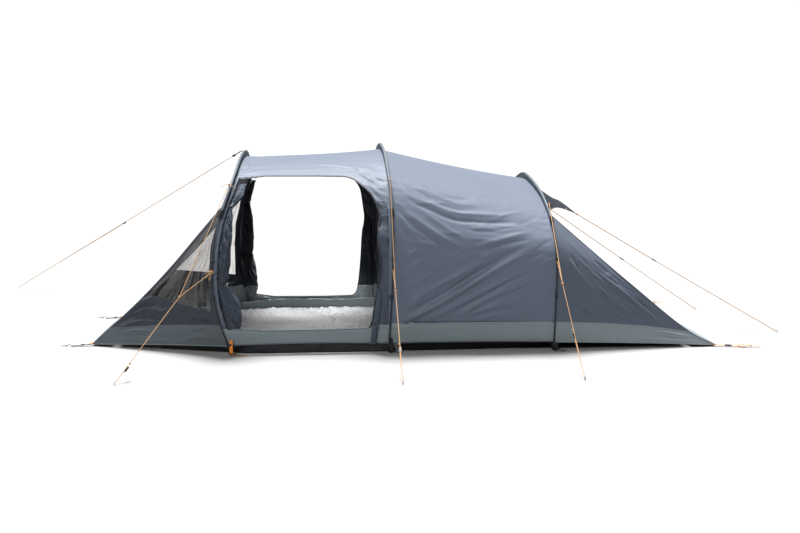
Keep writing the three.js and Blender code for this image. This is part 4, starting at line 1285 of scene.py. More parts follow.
def build_pole(name):
    """Rod with metal ferrules where the sections meet, and end caps."""
    curve = HOOP[name]
    arc = arc_lengths(curve)
    start, end = POLE_START, arc[-1] - POLE_START
    parts = [tube(sample(curve, arc, np.linspace(start, end, 240)), .00475, "pole", sides=12)]
    for joint in np.linspace(0, arc[-1], 9)[1:-1]:
        where = np.linspace(joint - .034, joint + .034, 9)
        parts.append(tube(sample(curve, arc, where), .0056, "ferrule", sides=12,
                          scale=[.9] + [1] * 7 + [.9]))
    for outer, inner in ((start - .001, start + .05), (end + .001, end - .05)):
        where = np.linspace(outer, inner, 6)
        parts.append(tube(sample(curve, arc, where), .0060, "ferrule", sides=12))
    rides(join(name + "_pole_rod", parts), BODY[name], name + "_pole")


def build_sleeve(name):
    """A fin from the fabric out to a tunnel around the pole; returns its centre line."""
    curve = HOOP[name]
    covered = curve[:, 2] > SLEEVE_FOOT[name]
    line = even(curve[covered], 260)
    first, last = np.argmax(covered), len(covered) - 1 - np.argmax(covered[::-1])
    turn = np.radians(np.linspace(-62, 242, 15))
    sections = []
    for i, place in enumerate(np.linspace(first / HOOP_STEPS, last / HOOP_STEPS, 261)):
        inset = inset_at(place) + .004
        radius = .0098 * (1 + .10 * noise(i * .21, 0, 5))
        gather = .0020 * noise(i * .33, 3, 6)
        fin = [(-.0042 + gather, -.014), (-.0024 + gather, -(.014 + inset) / 2),
               (-.0018, -inset), (.0018, -inset),
               (.0024 + gather, -(.014 + inset) / 2), (.0042 + gather, -.014)]
        sections.append(np.vstack([np.c_[radius * np.cos(turn), radius * np.sin(turn)], fin]))
    sleeve = sweep(line, np.array(sections), "sleeve", ups=outward_normals(line),
                   name=name + "_sleeve_cloth")
    rides(sleeve, BODY[name], name + "_sleeve")
    return line


def pole_clip(center, out, run):
    """Collar around the bare pole with a tab to the wall and a small outer hook."""
    axes = (X_AXIS, run, out)
    path = [center + run * step for step in (-.011, -.009, 0, .009, .011)]
    return [tube(path, .0092, "plastic", sides=12, scale=[.8, 1, 1, 1, .8]),
            block(center - out * .012, (.012, .006, .018), axes, "plastic"),
            block(center + out * .010, (.008, .008, .010), axes, "plastic")]


def foot_fittings(foot, sign, hooked):
    """Webbing, buckle and loose tail at one foot; hooked adds a hook, a ring and a strap."""
    across = np.array([0, sign * 1., .2])
    inner = foot * np.array([1, .982, 1]) + np.array([0, 0, .045])
    web = [inner + np.array([.004, 0, .03]), inner, offset(foot, sign, .006, -.004, .020),
           offset(foot, sign, .008, .006, .006), offset(foot, sign, .010, .022, .004)]
    parts = [strap(web, .020, .0022, "web", ups=across),
             block(offset(foot, sign, .004, .002, .030), (.024, .008, .020), STANDING, "plastic")]
    if hooked:
        base = foot + np.array([.016, 0, 0])
        parts.append(block(base + np.array([.004, 0, .040]), (.030, .010, .034),
                           (X_AXIS, Y_AXIS, (.25, 0, 1.)), "plastic"))
        parts.append(tube(upright_ring(offset(base, sign, 0, .004, .014), .012, .012, 18),
                          .0030, "plastic", sides=8, closed=True))
        path = [offset(foot, sign, *step) for step in (
            (.014, .002, .105), (.018, .004, .072), (.022, .004, .040), (.020, .006, .010))]
        parts.append(strap(even(spline(path), 14), .020, .0030, "web", ups=across))
    part = np.linspace(0, 1, 14)
    tail = np.c_[foot[0] + .012 + .075 * part, foot[1] + sign * (.012 + .020 * np.sin(3 * part)),
                 .004 + .010 * np.abs(np.sin(5 * part)) * (1 - part) + .002]
    parts.append(strap(tail, .016, .0018, "web"))
    return parts


def build_hoops():
    for name in ("mid", "front", "rear"):
        build_pole(name)
        sleeve = build_sleeve(name)
        # bound ends of the sleeve
        parts = [tube(sleeve[end], .0118, "web", sides=14)
                 for end in (slice(0, 7), slice(-7, None))]
        for sign in SIDES.values():
            half = slice(0, MIDDLE) if sign < 0 else slice(None, MIDDLE - 1, -1)
            side, normals = HOOP[name][half], NORMALS[name][half]
            for height in (.66, .40):
                i = int(np.argmax(side[:, 2] > height))
                parts += pole_clip(side[i], normals[i], unit(side[i + 3] - side[i - 3]))
            parts += foot_fittings(side[0], sign, hooked=name != "front")
        rides(join(name + "_hoop_fittings", parts), BODY[name])


def build_front_tensioners():
    """Orange pull-down webbing at the front hoop's feet, with cord tails on the ground."""
    for tag, sign in SIDES.items():
        top = np.array([-1.094, sign * .985, .105])
        ups = np.array([0, sign * 1., .3])
        path = [offset(top, sign, *step) for step in (
            (0, 0, 0), (.001, .010, -.03), (.002, .018, -.06), (.004, .022, -.088))]
        second = [offset(point, sign, .010, .006, .004) for point in path]
        parts = [strap(even(spline(path), 14), .015, .0026, "web_orange", ups=ups),
                 strap(even(spline(second), 14), .009, .0022, "web_orange", ups=ups),
                 block(offset(top, sign, .002, .014, -.030), (.020, .008, .014), STANDING,
                       "plastic")]
        part = np.linspace(0, 1, 22)
        for k in range(3):
            tail = np.c_[-1.088 + .03 * k * part + .085 * part * (1 if k != 1 else -.6),
                         sign * (1.008 + .030 * part + .012 * np.sin(4 * part + k)),
                         .004 + .012 * np.abs(np.sin(5 * part + k)) * (1 - part)]
            parts.append(tube(tail, .0016, "cord", sides=6))
        rides(join("front_tensioner_" + tag, parts), "front_hoop")


# ------------------------------------------------------------------ tied-back doors
# height, x of the edge beside the hoop, x of the free edge, half depth, distance inside the hoop
DOOR_CLOTH = {
    "near": [(1.214, -1.03, -.975, .006, .052), (1.196, -1.038, -.985, .01, .05),
             (1.138, -1.064, -.994, .016, .048), (1.085, -1.084, -1.031, .019, .044),
             (1.029, -1.104, -1.071, .014, .04), (1.005, -1.112, -1.068, .02, .038),
             (.966, -1.122, -1.062, .027, .034), (.866, -1.146, -1.066, .034, .03),
             (.767, -1.164, -1.073, .036, .03), (.652, -1.177, -1.079, .036, .03),
             (.543, -1.18, -1.09, .028, .03), (.502, -1.178, -1.108, .018, .03),
             (.48, -1.178, -1.094, .022, .03), (.453, -1.177, -1.066, .028, .03),
             (.389, -1.169, -1.034, .038, .03), (.318, -1.158, -1.019, .042, .03),
             (.239, -1.138, -1.013, .038, .03), (.173, -1.121, -1.022, .028, .03),
             (.106, -1.104, -1.058, .017, .03), (.058, -1.096, -1.08, .008, .03)],
    "far": [(1.19, -1.048, -1.006, .006, .052), (1.164, -1.058, -1.022, .012, .05),
            (1.058, -1.092, -1.052, .02, .042), (.96, -1.122, -1.076, .014, .034),
            (.935, -1.128, -1.07, .02, .032), (.862, -1.146, -1.061, .03, .03),
            (.745, -1.166, -1.051, .036, .03), (.567, -1.179, -1.051, .034, .03),
            (.48, -1.178, -1.064, .02, .03), (.461, -1.176, -1.063, .018, .03),
            (.43, -1.172, -1.048, .024, .03), (.391, -1.169, -1.04, .032, .03),
            (.286, -1.15, -1.027, .038, .03), (.174, -1.12, -1.019, .034, .03),
            (.089, -1.1, -1.036, .02, .03), (.042, -1.09, -1.07, .008, .03)]}
TIE_HEIGHTS = {"near": (1.029, .502), "far": (.96, .47)}
# materials above and below the top of the mud wall
DOOR_LOOKS = {"near": ("door", "mud"), "far": ("hood", "mud_in")}
DOOR_MUD = .175


def rolled_points(tag, sign):
    """Rings of the rolled door from bottom to top, their heights and the free edge's x."""
    curve, normals = HOOP["front"][:MIDDLE], NORMALS["front"][:MIDDLE]
    rows = np.array(DOOR_CLOTH[tag])[::-1]
    heights = np.linspace(rows[0, 0], rows[-1, 0], 260)
    columns = [np.interp(heights, rows[:, 0], rows[:, k]) for k in range(1, 5)]
    for column in columns:
        for _ in range(2):
            column[1:-1] = (column[:-2] + 2 * column[1:-1] + column[2:]) / 4
    hoop_x, free_x, depth, inside = columns
    turn = np.arange(96) * 2 * np.pi / 96
    cos, sin = np.cos(turn), np.sin(turn)
    part = (1 - cos) / 2  # 0 at the free edge, 1 at the hoop edge
    from_tie = np.min(np.abs(heights[:, None] - np.array(TIE_HEIGHTS[tag])[None]), axis=1)
    seed_shift = sign > 0
    rings = []
    for i, z in enumerate(heights):
        k = int(np.argmax(curve[:, 2] > z))
        out = normals[k]
        center = curve[k] - out * (inside[i] + depth[i])
        # a flattened section, its faces thrown into pleats that fan out from the ties
        at_tie = np.exp(-from_tie[i] / .05)
        phase = 2 * np.pi * (part * 6.5 + .55 * np.sin(z * 9 + 4 * part)
                             + .25 * np.sin(z * 23 + 9 * part))
        pleat = np.sin(phase) * (.20 + .10 * at_tie) + .10 * np.sin(phase * 2.3 + 1)
        slump = .26 * crumple(part * 2.2 + .6 * np.sin(z * 6), z * 6 + part * 2.0,
                              33 + seed_shift, 2) * (1 - .6 * at_tie)
        fine = .05 * crumple(part * 6, z * 20, 37 + seed_shift, 2)
        swell = 1 + (pleat + slump + fine) * np.abs(sin) ** .6
        x = ((hoop_x[i] + free_x[i]) / 2
             + (free_x[i] - hoop_x[i]) / 2 * np.sign(cos) * np.abs(cos) ** .85)
        x = x + .0035 * noise(z * 30, cos * 2, 39) * (1 + cos) / 2
        bulge = depth[i] * swell * sin
        rings.append(np.c_[x, center[1] + out[1] * bulge, center[2] + out[2] * bulge])
    points = np.array(rings)
    points[..., 2] = np.maximum(points[..., 2], .004)
    return points * mirror(sign), turn, heights, free_x


def build_rolled_door(tag, sign):
    points, turn, heights, free_x = rolled_points(tag, sign)
    split = int(np.argmax(heights > DOOR_MUD))
    uv = uv_grid(turn[None, :] * .06, heights[:, None])
    halves = []
    for name, look, rows in (("upper", DOOR_LOOKS[tag][0], slice(split, None)),
                             ("hem", DOOR_LOOKS[tag][1], slice(0, split + 1))):
        part = points[rows]
        index = np.arange(part.shape[0] * part.shape[1]).reshape(part.shape[:2])
        cap = index[-1] if name == "upper" else index[0][::-1]
        faces = list(ring_quads(index)) + [cap]
        if sign > 0:
            faces = [face[::-1] for face in faces]
        halves.append(make(f"door_cloth_{tag}_{name}", part, faces, look, uv[rows]))
    rides(halves[0], "front_hoop", f"door_{tag}_rolled")
    rides(halves[1], "front_hoop")

    parts = []
    for height in TIE_HEIGHTS[tag]:
        i = int(np.argmin(np.abs(heights - height)))
        ring = points[i]
        center = ring.mean(0)
        soft = np.roll(ring, 3, axis=0) * .25 + ring * .5 + np.roll(ring, -3, axis=0) * .25
        band = center + (soft - center)[::3] * 1.05
        parts.append(strap(band, .009, .0022, "web", closed=True))
        tip = np.array([free_x[i] - .004, center[1] + sign * .010, heights[i]])
        bar = [offset(tip, sign, .015 * k, .004 * k, .012 * k) for k in (-1, -.8, 0, .8, 1)]
        parts.append(tube(bar, .0052, "toggle", scale=[.6, 1, 1, 1, .6]))
        parts.append(tube(upright_ring(offset(tip, sign, 0, .003, -.012), .010, .012, 16),
                          .0015, "toggle", sides=6, closed=True))
    rides(join("door_ties_" + tag, parts), "front_hoop")


def build_door_trim():
    # hook and red tab at the head of the far door
    hook = [(-.985, .862, 1.2), (-.978, .862, 1.18), (-.966, .862, 1.172), (-.958, .862, 1.182),
            (-.96, .862, 1.196)]
    tab = [block((-1.015, .865, 1.176), (.012, .004, .034), STANDING, "red"),
           tube(hook, .0022, "toggle", sides=8)]
    spans(join("far_door_tab", tab))
    # cord that hangs beside the middle hoop on the near side, with a pull at its end
    hang = spline([(-.07, -.93, 1.07), (-.074, -.945, .9), (-.08, -.95, .74),
                   (-.088, -.952, .69)])
    pull = [(-.088, -.952, .7), (-.09, -.952, .672), (-.094, -.952, .64)]
    parts = [tube(hang, .0016, "dull_red", sides=6),
             tube(pull, .0045, "plastic", sides=8, scale=[.6, 1, .7])]
    rides(join("door_hanging_cord", parts), "tent")


def build_storm_flap():
    """Flap that hangs beside the near door, in front of the mud wall."""
    heights, widths = np.linspace(.470, .052, 150), np.linspace(0, 1, 16)
    edge = np.interp(heights, [.052, .195, .341, .470], [-.128, -.114, -.096, -.080])
    z, part = np.meshgrid(heights, widths, indexing="ij")
    width = .040 * np.clip((.470 - z) / .06, .25, 1)
    x = edge[:, None] - .004 + part * width
    points, normals = wall_line(porch_surface, np.c_[x.ravel(), z.ravel()], SIDES["near"])
    rise = (.006 + .008 * np.sin(np.pi * part) + .0075 * crumple(part * 1.6 + 3, z * 17, 51, 3)
            + .004 * crumple(part * 4, z * 40, 52, 2))
    points = points + normals * rise.ravel()[:, None]
    flap = make("storm_flap_near", points, grid_quads(*z.shape), "door",
                np.stack([part * .05, z], -1), thickness=.0011, side=0)
    spans(flap)


# ------------------------------------------------------------------ inner tent
# x, half width, height
SECTIONS = np.array([
    (.085, .93, 1.3), (.6, .92, 1.195), (1.08, .895, .985), (1.15, .88, .87), (1.32, .85, .69),
    (1.64, .79, .38), (2.04, .74, .09)])
INNER_START, INNER_END, INNER_HALF = SECTIONS[0, 0], SECTIONS[-1, 0], SECTIONS[0, 1]
# doorway in its porch-end wall: y, height
INNER_DOOR = [(.52, .12), (.56, .4), (.55, .62), (.5, .86), (.42, 1), (.25, 1.08), (0, 1.12),
              (-.25, 1.08), (-.42, 1), (-.5, .86), (-.55, .62), (-.56, .4), (-.52, .12)]
TUB_TOP = .13
THIN = dict(thickness=.001, side=0)
GROUND = dict(thickness=.0012, side=0)


def section_ring(x):
    """Arch of the inner tent at x, from its near foot to its far foot."""
    half, height = (np.interp(x, SECTIONS[:, 0], SECTIONS[:, k]) for k in (1, 2))
    turn = np.linspace(0, np.pi, 61)
    cos, sin = np.cos(turn), np.sin(turn)
    return np.c_[np.full(61, x), -half * np.sign(cos) * np.abs(cos) ** .62,
                 .005 + (height - .005) * np.clip(sin, 0, 1) ** .8]


def inner_shell():
    """Points of the walls and roof, slightly slack between their edges."""
    xs = np.r_[np.linspace(INNER_START, 1.08, 60), np.linspace(1.10, INNER_END, 50)]
    grid = np.array([section_ring(x) for x in xs])
    away = grid - grid.mean(1, keepdims=True)
    away[..., 0] = 0
    away /= np.linalg.norm(away, axis=2)[..., None]
    x, around = xs[:, None], np.linspace(0, 1, 61)[None, :]
    arch = np.sin(np.pi * around)
    slack = -.006 - .020 * np.sin(np.pi * np.clip((x - .085) / 1.0, 0, 1)) * arch ** .5
    slack = slack + .006 * fbm(x * 5, around * 14, 101, 3)
    slack = slack + .005 * crumple(x * 3, around * 9, 102, 2) * arch
    slack = slack * np.clip(arch * 6, 0, 1)
    return grid + away * slack[..., None], uv_grid(x, around * 3.2)


def inner_floor():
    xs = np.linspace(INNER_START, INNER_END, 90)
    half = np.interp(xs, SECTIONS[:, 0], SECTIONS[:, 1])
    points = np.stack([np.broadcast_to(xs[:, None], (90, 60)),
                       half[:, None] * np.linspace(-1, 1, 60)[None], np.full((90, 60), .006)], -1)
    points[..., 2] += .004 + .004 * crumple(points[..., 0] * 6, points[..., 1] * 6, 103, 3)
    points[..., 2] = np.maximum(points[..., 2], .004)
    return make("inner_tent_floor", points, grid_quads(90, 60), "tub", points[..., :2], **GROUND)


def inner_front_wall(ring):
    """Wall at the porch end, between the first arch and its doorway."""
    outer = even(ring[:, 1:], 120)
    inner = even(spline([(-y, z) for y, z in INNER_DOOR]), 120)
    part = np.linspace(0, 1, 16)[:, None, None]
    wall = outer[None] * (1 - part) + inner[None] * part
    points = np.concatenate([np.full(wall.shape[:2] + (1,), .086), wall], -1)
    points[..., 0] += (.012 * crumple(points[..., 1] * 5, points[..., 2] * 4, 104, 3)
                       * np.sin(np.pi * part[..., 0]) ** .5 + .004)
    return make("inner_tent_door_wall", points, grid_quads(16, 121)[:, TURNED], "inner",
                points[..., 1:], **THIN)


def inner_door_roll():
    """The door of the inner tent, rolled up beside its doorway on the far side."""
    path = even(spline([(.06, .56, 1.02), (.05, .6, .8), (.05, .62, .5), (.055, .6, .16)]), 60)
    turn = np.arange(26) * 2 * np.pi / 26
    cos, sin = np.cos(turn), np.sin(turn)
    sections = []
    for i in range(61):
        wave = 1 + .16 * np.sin(4 * turn + i * .2)
        rough = .12 * noise(cos * 2 + i * .2, sin * 2, 9)
        sections.append(np.c_[.034 * (wave + rough) * cos, .034 * wave * sin])
    return sweep(path, np.array(sections), "inner", ups=X_AXIS, name="inner_tent_door_roll")


def build_inner_tent():
    grid, uv = inner_shell()
    faces = grid_quads(*grid.shape[:2])[:, TURNED]
    # the low band is near black: the bathtub's own dark colour, deepened as painted shade for the
    # gap under the hem
    high = grid.reshape(-1, 3)[faces, 2].mean(1) > TUB_TOP
    pieces = [make_part("inner_tent_cloth", grid, faces[high], "inner", uv, **THIN),
              make_part("inner_tent_tub", grid, faces[~high], "tub", uv, **THIN),
              inner_floor(), inner_front_wall(grid[0])]
    sill = np.array([(.086, y, z) for y, z in (
        (-INNER_HALF, .008), (INNER_HALF, .008), (INNER_HALF * .985, .11), (.52, .12),
        (-.52, .12), (-INNER_HALF * .985, .11))])
    pieces.append(make("inner_tent_sill", sill, [range(6)], "tub", sill[:, 1:], **GROUND))
    pieces.append(make("inner_tent_tail", grid[-1], [range(61)], "tub", grid[-1][:, 1:],
                       **GROUND))
    door_roll = inner_door_roll()
    spans(join("inner_tent_cloth", pieces), "inner_tent")
    rides(door_roll, "tent")


# ------------------------------------------------------------------ porch groundsheet
SHEET_START, SHEET_END = -1.60, .05


def build_groundsheet():
    """Crinkled silver sheet that narrows where it runs forward under the front end."""
    x, part = np.meshgrid(np.linspace(SHEET_START, SHEET_END, 290), np.linspace(-1, 1, 330),
                          indexing="ij")
    y = part * np.interp(x, [SHEET_START, -1.06, -.97, SHEET_END], [.690, .885, .925, .925])
    z = (.006 + .0050 * crumple(x * 6.5, y * 5.5, 111, 3) + .002 * fbm(x * 3, y * 3, 112, 3)
         + .0120 * crumple(x * 24, y * 12, 113, 2) + .0060 * crumple(x * 52, y * 27, 114, 2))
    # one long fold on the far side, toward the middle hoop
    z += (.012 * np.exp(-((y - .50 - .10 * np.sin(x * 4)) / .02) ** 2)
          * np.clip((x + .5) / .3, 0, 1))
    z = np.maximum(z, .0022)
    z = z + .012 * np.clip((np.abs(part) - .968) / .032, 0, 1) ** 1.5
    points = np.stack([x, y, z], -1)
    sheet = make("porch_groundsheet_cloth", points, grid_quads(*x.shape), "floor",
                 points[..., :2], inside="tub", thickness=.0008)
    spans(sheet, "porch_groundsheet")


def build_groundsheet_rim():
    """The dark edge, turned up inside the walls, and the low edge at the porch end."""
    rim = even(spline([(SHEET_START, -.7), (-1.35, -.795), (-1.15, -.872), (-1.04, -.915),
                       (-.95, -.945), (-.5, -.95), (.02, -.952)]), 260)
    run = arc_lengths(rim)
    height = np.interp(rim[:, 0], [SHEET_START, -1.04, -.90], [.050, .082, .090])
    rise = np.linspace(0, 1, 9)
    walls = []
    for sign in SIDES.values():
        points = np.zeros((261, 9, 3))
        for j, part in enumerate(rise):
            wobble = .005 * crumple(run * 9, part * 1.4 + .3, 121 - sign, 3)
            points[:, j, 0] = rim[:, 0] + wobble * .6
            points[:, j, 1] = (rim[:, 1] + wobble) * -sign
            points[:, j, 2] = .003 + part * (height + .008 * noise(run * 7, 0, 123))
        faces = grid_quads(261, 9)
        # the sides are near black: partly the groundsheet's own dark edge, partly a dark sheet
        # standing in for the shade under the porch hem
        walls.append(make("rim", points, faces if sign < 0 else faces[:, ::-1], "tub",
                          uv_grid(run[:, None], rise[None] * .08), inside="mud_in", **GROUND))
    across = np.linspace(-.690, .690, 80)
    points = np.zeros((80, 5, 3))
    for j, part in enumerate(np.linspace(0, 1, 5)):
        points[:, j, 0] = SHEET_START - .006 * part + .004 * crumple(across * 8, part, 125, 3)
        points[:, j, 1] = across
        points[:, j, 2] = .003 + part * .030
    walls.append(make("rim", points, grid_quads(80, 5), "floor", points[..., 1:], inside="tub",
                      **GROUND))
    spans(join("groundsheet_rim", walls))


# ------------------------------------------------------------------ guys
# per hoop, near side: heights of the upper and lower anchors, the point where both lines
# join, the peg, and the runner's fraction of the way from there to the peg
SIDE_GUYS = {
    "front": (1.14, .586, (-1.384, -1.32, .462), (-1.712, -1.787, .006), .84),
    "mid": (1.17, .587, (.019, -1.316, .483), (.016, -1.918, .006), .652),
    "rear": (.985, .63, (1.103, -1.45, .54), (1.141, -1.896, .006), .566)}
TOP_ANCHOR, TOP_PEG = np.array([-1.068, .028, 1.398]), np.array([-3.524, 2.521, .006])
TOP_RUNNER = .46
# anchor, peg, runner's fraction of the way
HOOD_GUYS = {"near": ((1.454, -.452, .924), (3.028, -.496, .006), .381),
             "far": ((1.466, .452, .908), (2.812, .613, .006), .485)}
LOOP, DOUBLED_LOOP = np.array([0, 0, .010]), np.array([0, 0, .012])  # line heights over a peg


def cord(start, end, radius=.0021):
    part = np.linspace(0, 1, 40)[:, None]
    path = np.asarray(start, float) * (1 - part) + np.asarray(end, float) * part
    return tube(path, radius, "cord", sides=8)


def beside(name, height, gap):
    """Point outside the near half of a hoop at a height."""
    i = int(np.argmax(HOOP[name][:MIDDLE, 2] >= height))
    return HOOP[name][i] + NORMALS[name][i] * gap


def knot(center, radius, seed=1):
    path = [center + np.array([radius * math.cos(turn) * (1 + .2 * math.sin(3 * turn + seed)),
                               radius * .9 * math.sin(turn),
                               radius * .8 * math.sin(turn * .5 + seed)])
            for turn in np.linspace(0, 2 * np.pi * 2.0, 40)]
    return tube(path, radius * .55, "cord", sides=6)


def loose_end(start, direction, length, seed):
    side = unit(np.cross(direction, [.3, .2, 1.]))
    path = [start + direction * length * part + side * .012 * math.sin(5 * part + seed) * part
            + np.array([0, 0, -.03 * part * part]) for part in np.linspace(0, 1, 16)]
    return tube(path, .0018, "cord", sides=6)


def build_side_guy(name, tag, sign):
    upper_height, lower_height, joint, peg, runner_part = SIDE_GUYS[name]
    flip = mirror(sign)
    upper = beside(name, upper_height, .045) * flip
    lower = beside(name, lower_height, .00775) * flip
    root = beside(name, upper_height, .010) * flip
    joint, peg = np.array(joint) * flip, np.array(peg) * flip
    runner = joint * (1 - runner_part) + peg * runner_part
    aside = unit(np.cross(peg - joint, UP)) * .0042
    # the line is doubled from the peg up to the runner
    parts = [cord(upper, joint), cord(lower, joint + unit(lower - joint) * .004, .0019),
             cord(joint, peg + LOOP), cord(runner + aside, peg + DOUBLED_LOOP, .0018),
             knot(joint, .0060, seed=2),
             knot(runner + unit(joint - runner) * .045 + aside, .0045, seed=3),
             knot(upper, .0045, seed=4), knot(lower, .0045, seed=5)]
    if name == "front":
        parts.append(knot(lower, .0085, seed=6))
        parts.append(loose_end(upper, unit([-.7, 0, .12]), .052, 1))
        parts.append(loose_end(upper, unit([.7, 0, .25]), .026, 2))
        for k in range(5):
            direction = unit([-.7 + .1 * k, sign * .15, .55 - .34 * k])
            parts.append(loose_end(lower, direction, .050 - .005 * k, 3 + k))
    rides(join(f"guy_{name}_{tag}_cord", parts), BODY[name], f"guy_{name}_{tag}")
    # webbing tab that carries the upper end
    path = [root - UP * .02, root, upper - unit(upper - root) * .004, upper]
    tab = strap(even(spline(path), 12), .014, .0030, "web", ups=X_AXIS,
                name=f"guy_tab_{name}_{tag}")
    rides(tab, BODY[name])


def build_top_guy():
    """Guy from the crown of the front hoop, with its tab and buckle."""
    run = unit(TOP_PEG - TOP_ANCHOR)
    side = np.cross(run, UP)
    path = [HOOP["front"][MIDDLE] + [0, 0, .004], TOP_ANCHOR + run * .012,
            TOP_ANCHOR + run * .095]
    tab = strap(even(path, 20), .016, .0030, "web", name="front_top_tab")
    rides(tab, "front_hoop")
    buckle = block(TOP_ANCHOR + run * .098, (.022, .010, .026),
                   (side, np.cross(side, run), run), "plastic", name="front_top_buckle")
    rides(buckle, "front_hoop")
    runner = TOP_ANCHOR * (1 - TOP_RUNNER) + TOP_PEG * TOP_RUNNER
    parts = [cord(TOP_ANCHOR, TOP_PEG + LOOP, .0029),
             cord(runner + unit(side) * .004, TOP_PEG + DOUBLED_LOOP, .0017),
             knot(TOP_ANCHOR + run * .115, .0055)]
    rides(join("guy_front_top_cord", parts), "front_hoop", "guy_front_top")


def build_hood_guy(tag):
    anchor, peg, runner_part = HOOD_GUYS[tag]
    anchor, peg, tip = np.array(anchor), np.array(peg), HOOD_TIPS[tag]
    runner = anchor * (1 - runner_part) + peg * runner_part
    run = unit(peg - anchor)
    upper = join("guy_hood_" + tag + "_upper", [
        cord(tip, runner, .0030), knot(anchor, .0048),
        strap([tip - run * .03, tip - run * .01, anchor + run * .012], .012, .0026, "web")])
    spans(upper,
          "guy_hood_" + tag)
    lower = join("guy_hood_" + tag + "_lower", [
        cord(runner, peg + LOOP, .0026),
        cord(runner + unit(np.cross(run, UP)) * .004, peg + DOUBLED_LOOP, .0018)])
    rides(lower, "rear_hoop")


# ------------------------------------------------------------------ corner straps
def build_corner_strap(name, tag, sign):
    """Strap from a lower corner to its peg, with plastic fittings and a loose tail."""
    corner, peg = (np.array(point) * mirror(sign) for point in CORNERS[name])
    run = unit(peg - corner)
    side = np.cross(run, UP)
    axes = (side, UP, run)
    look, slot = (("web_orange", "webbing_orange") if name == "rear"
                  else ("web", "webbing_black"))
    path = [corner - run * .05 + UP * .012, corner, (corner + peg) / 2 - UP * .001, peg]
    parts = [strap(even(path, 24), .020, .0024, look)]
    if name == "rear":
        parts += [block(corner * .62 + peg * .38 + UP * .002, (.026, .009, .034), axes, "plastic"),
                  block(corner * .50 + peg * .50 + UP * .003, (.022, .007, .012), axes, "plastic")]
        part = np.linspace(0, 1, 40)
        rise = .004 + .012 * np.abs(np.sin(8 * part)) * (1 - .5 * part)
        tail = (peg + run * (part[:, None] - .35) * .16
                + side * (.012 * np.sin(7 * part))[:, None] + UP * rise[:, None])
        parts.append(strap(tail, .016, .0020, look))
    else:
        path = [corner - run * .03 + UP * .02, corner + UP * .006, corner + run * .03 + UP * .004]
        parts += [strap(even(path, 10), .018, .0028, "web_orange"),
                  block(corner * .55 + peg * .45 + UP * .002, (.024, .008, .022), axes, "plastic")]
        part = np.linspace(0, 1, 24)
        rise = .003 + .008 * np.abs(np.sin(8 * part))
        tail = (peg + run * (part[:, None] * .07) + side * (.010 * np.sin(7 * part))[:, None]
                + UP * rise[:, None])
        parts.append(tube(tail, .0018, "web", sides=6))
    rides(join(f"corner_strap_{name}_{tag}", parts), BODY[name], f"strap_{name}_{tag}")


def finish_cad_pieces():
    """Steel for the pegs and pins, plastic for the runners and zip pulls of the frame."""
    for name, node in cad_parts.items():
        steel = name.startswith("peg_") or "_pin_" in name
        if not steel and not name.startswith(("runner_", "zip_")):
            continue
        mesh = node.data
        mesh.materials.clear()
        mesh.materials.append(MATERIALS["steel" if steel else "plastic"])
        if steel:
            mesh.polygons.foreach_set("use_smooth", np.ones(len(mesh.polygons), bool))


# ------------------------------------------------------------------ floor, light and camera
def link(name, data):
    item = bpy.data.objects.new(name, data)
    bpy.context.scene.collection.objects.link(item)
    return item


def build_ground():
    mesh = bpy.data.meshes.new("ground")
    mesh.from_pydata([(-60, -30, 0), (60, -30, 0), (60, 80, 0), (-60, 80, 0)], [],
                     [(0, 1, 2, 3)])
    ground = link("ground", mesh)
    material = bpy.data.materials.new("pale_floor")
    material.use_nodes = True
    tree = material.node_tree
    shader = tree.nodes["Principled BSDF"]
    shader.inputs["Roughness"].default_value = .95
    shader.inputs["Specular IOR Level"].default_value = .05
    # paler to the camera than to the light it bounces
    path = add_node(tree, "ShaderNodeLightPath")
    tone = add_node(tree, "ShaderNodeMix", {
        0: path.outputs["Is Camera Ray"], 6: (.22, .22, .225, 1), 7: (.4, .397, .393, 1)},
        data_type="RGBA")
    tree.links.new(tone.outputs[2], shader.inputs["Base Color"])
    mesh.materials.append(material)


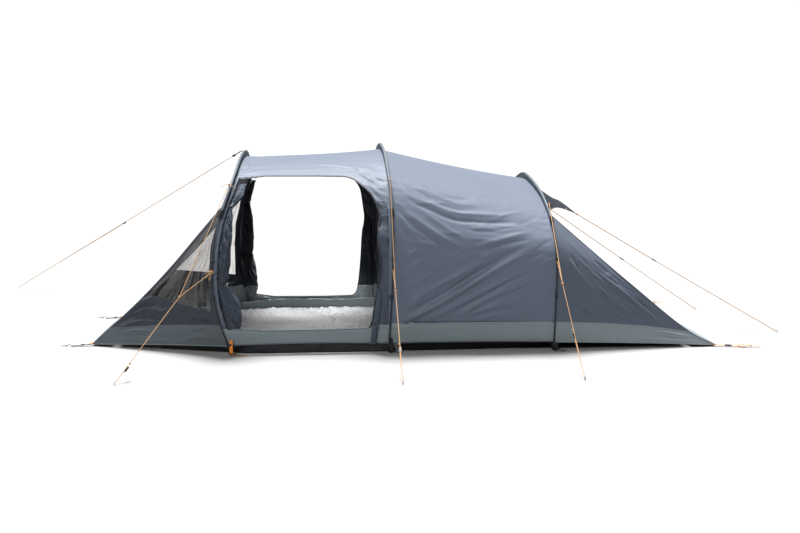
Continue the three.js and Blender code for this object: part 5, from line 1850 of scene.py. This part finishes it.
def build_world(ambient=.13, seen=1.2, glossy=.36):
    """Sky strengths: as light, as seen by the camera, and added for reflections."""
    world = bpy.data.worlds.new("studio")
    bpy.context.scene.world = world
    world.use_nodes = True
    tree = world.node_tree
    background = tree.nodes["Background"]
    background.inputs[0].default_value = (.97, .985, 1, 1)
    path = add_node(tree, "ShaderNodeLightPath")
    base = add_node(tree, "ShaderNodeMath", {
        0: path.outputs["Is Camera Ray"], 1: seen - ambient, 2: ambient},
        operation="MULTIPLY_ADD")
    total = add_node(tree, "ShaderNodeMath", {
        0: path.outputs["Is Glossy Ray"], 1: glossy, 2: base.outputs[0]},
        operation="MULTIPLY_ADD")
    tree.links.new(total.outputs[0], background.inputs[1])


def build_sun(name, direction, power, angle):
    light = bpy.data.lights.new(name, "SUN")
    light.energy = power
    light.angle = math.radians(angle)
    light.color = (1, 1, 1)
    sun = link(name, light)
    sun.location = (0, 0, 6)
    sun.rotation_euler = Vector(direction).to_track_quat("-Z", "Y").to_euler()


def build_porch_fill():
    """Soft light under the porch roof."""
    light = bpy.data.lights.new("porch_fill", "AREA")
    light.shape = "RECTANGLE"
    light.size, light.size_y = .75, 1.25
    light.energy = 4.4
    light.spread = math.radians(70)
    fill = link("porch_fill", light)
    fill.location = (-.56, .05, 1.17)
    fill.visible_camera = False
    fill.visible_glossy = False


def build_camera():
    camera = bpy.data.cameras.new("view")
    camera.sensor_width = 36
    camera.lens = 44.2845
    camera.clip_end = 300
    view = link("view", camera)
    view.location = (-.4857, -7.7147, 1.4183)
    view.rotation_euler = (math.pi / 2 - .11979, 0, -.08326)
    bpy.context.scene.camera = view
    bpy.context.scene.view_settings.view_transform = "Standard"


# ------------------------------------------------------------------ build
build_bays()
build_zips_and_seams()
build_end_sides()
build_end_panels()
build_end_seams()
build_window_welts()
build_hood()
build_hoops()
build_front_tensioners()
for tag, sign in SIDES.items():
    build_rolled_door(tag, sign)
build_door_trim()
build_storm_flap()
build_inner_tent()
build_groundsheet()
build_groundsheet_rim()
for name in SIDE_GUYS:
    for tag, sign in SIDES.items():
        build_side_guy(name, tag, sign)
build_top_guy()
for tag in HOOD_GUYS:
    build_hood_guy(tag)
for name in CORNERS:
    for tag, sign in SIDES.items():
        build_corner_strap(name, tag, sign)
finish_cad_pieces()
build_ground()
build_world()
build_sun("overhead_soft", direction=(.05, -.22, -1), power=7.7, angle=24)
build_sun("sky_soft", direction=(.30, .78, -.52), power=1.25, angle=14)
build_porch_fill()
build_camera()
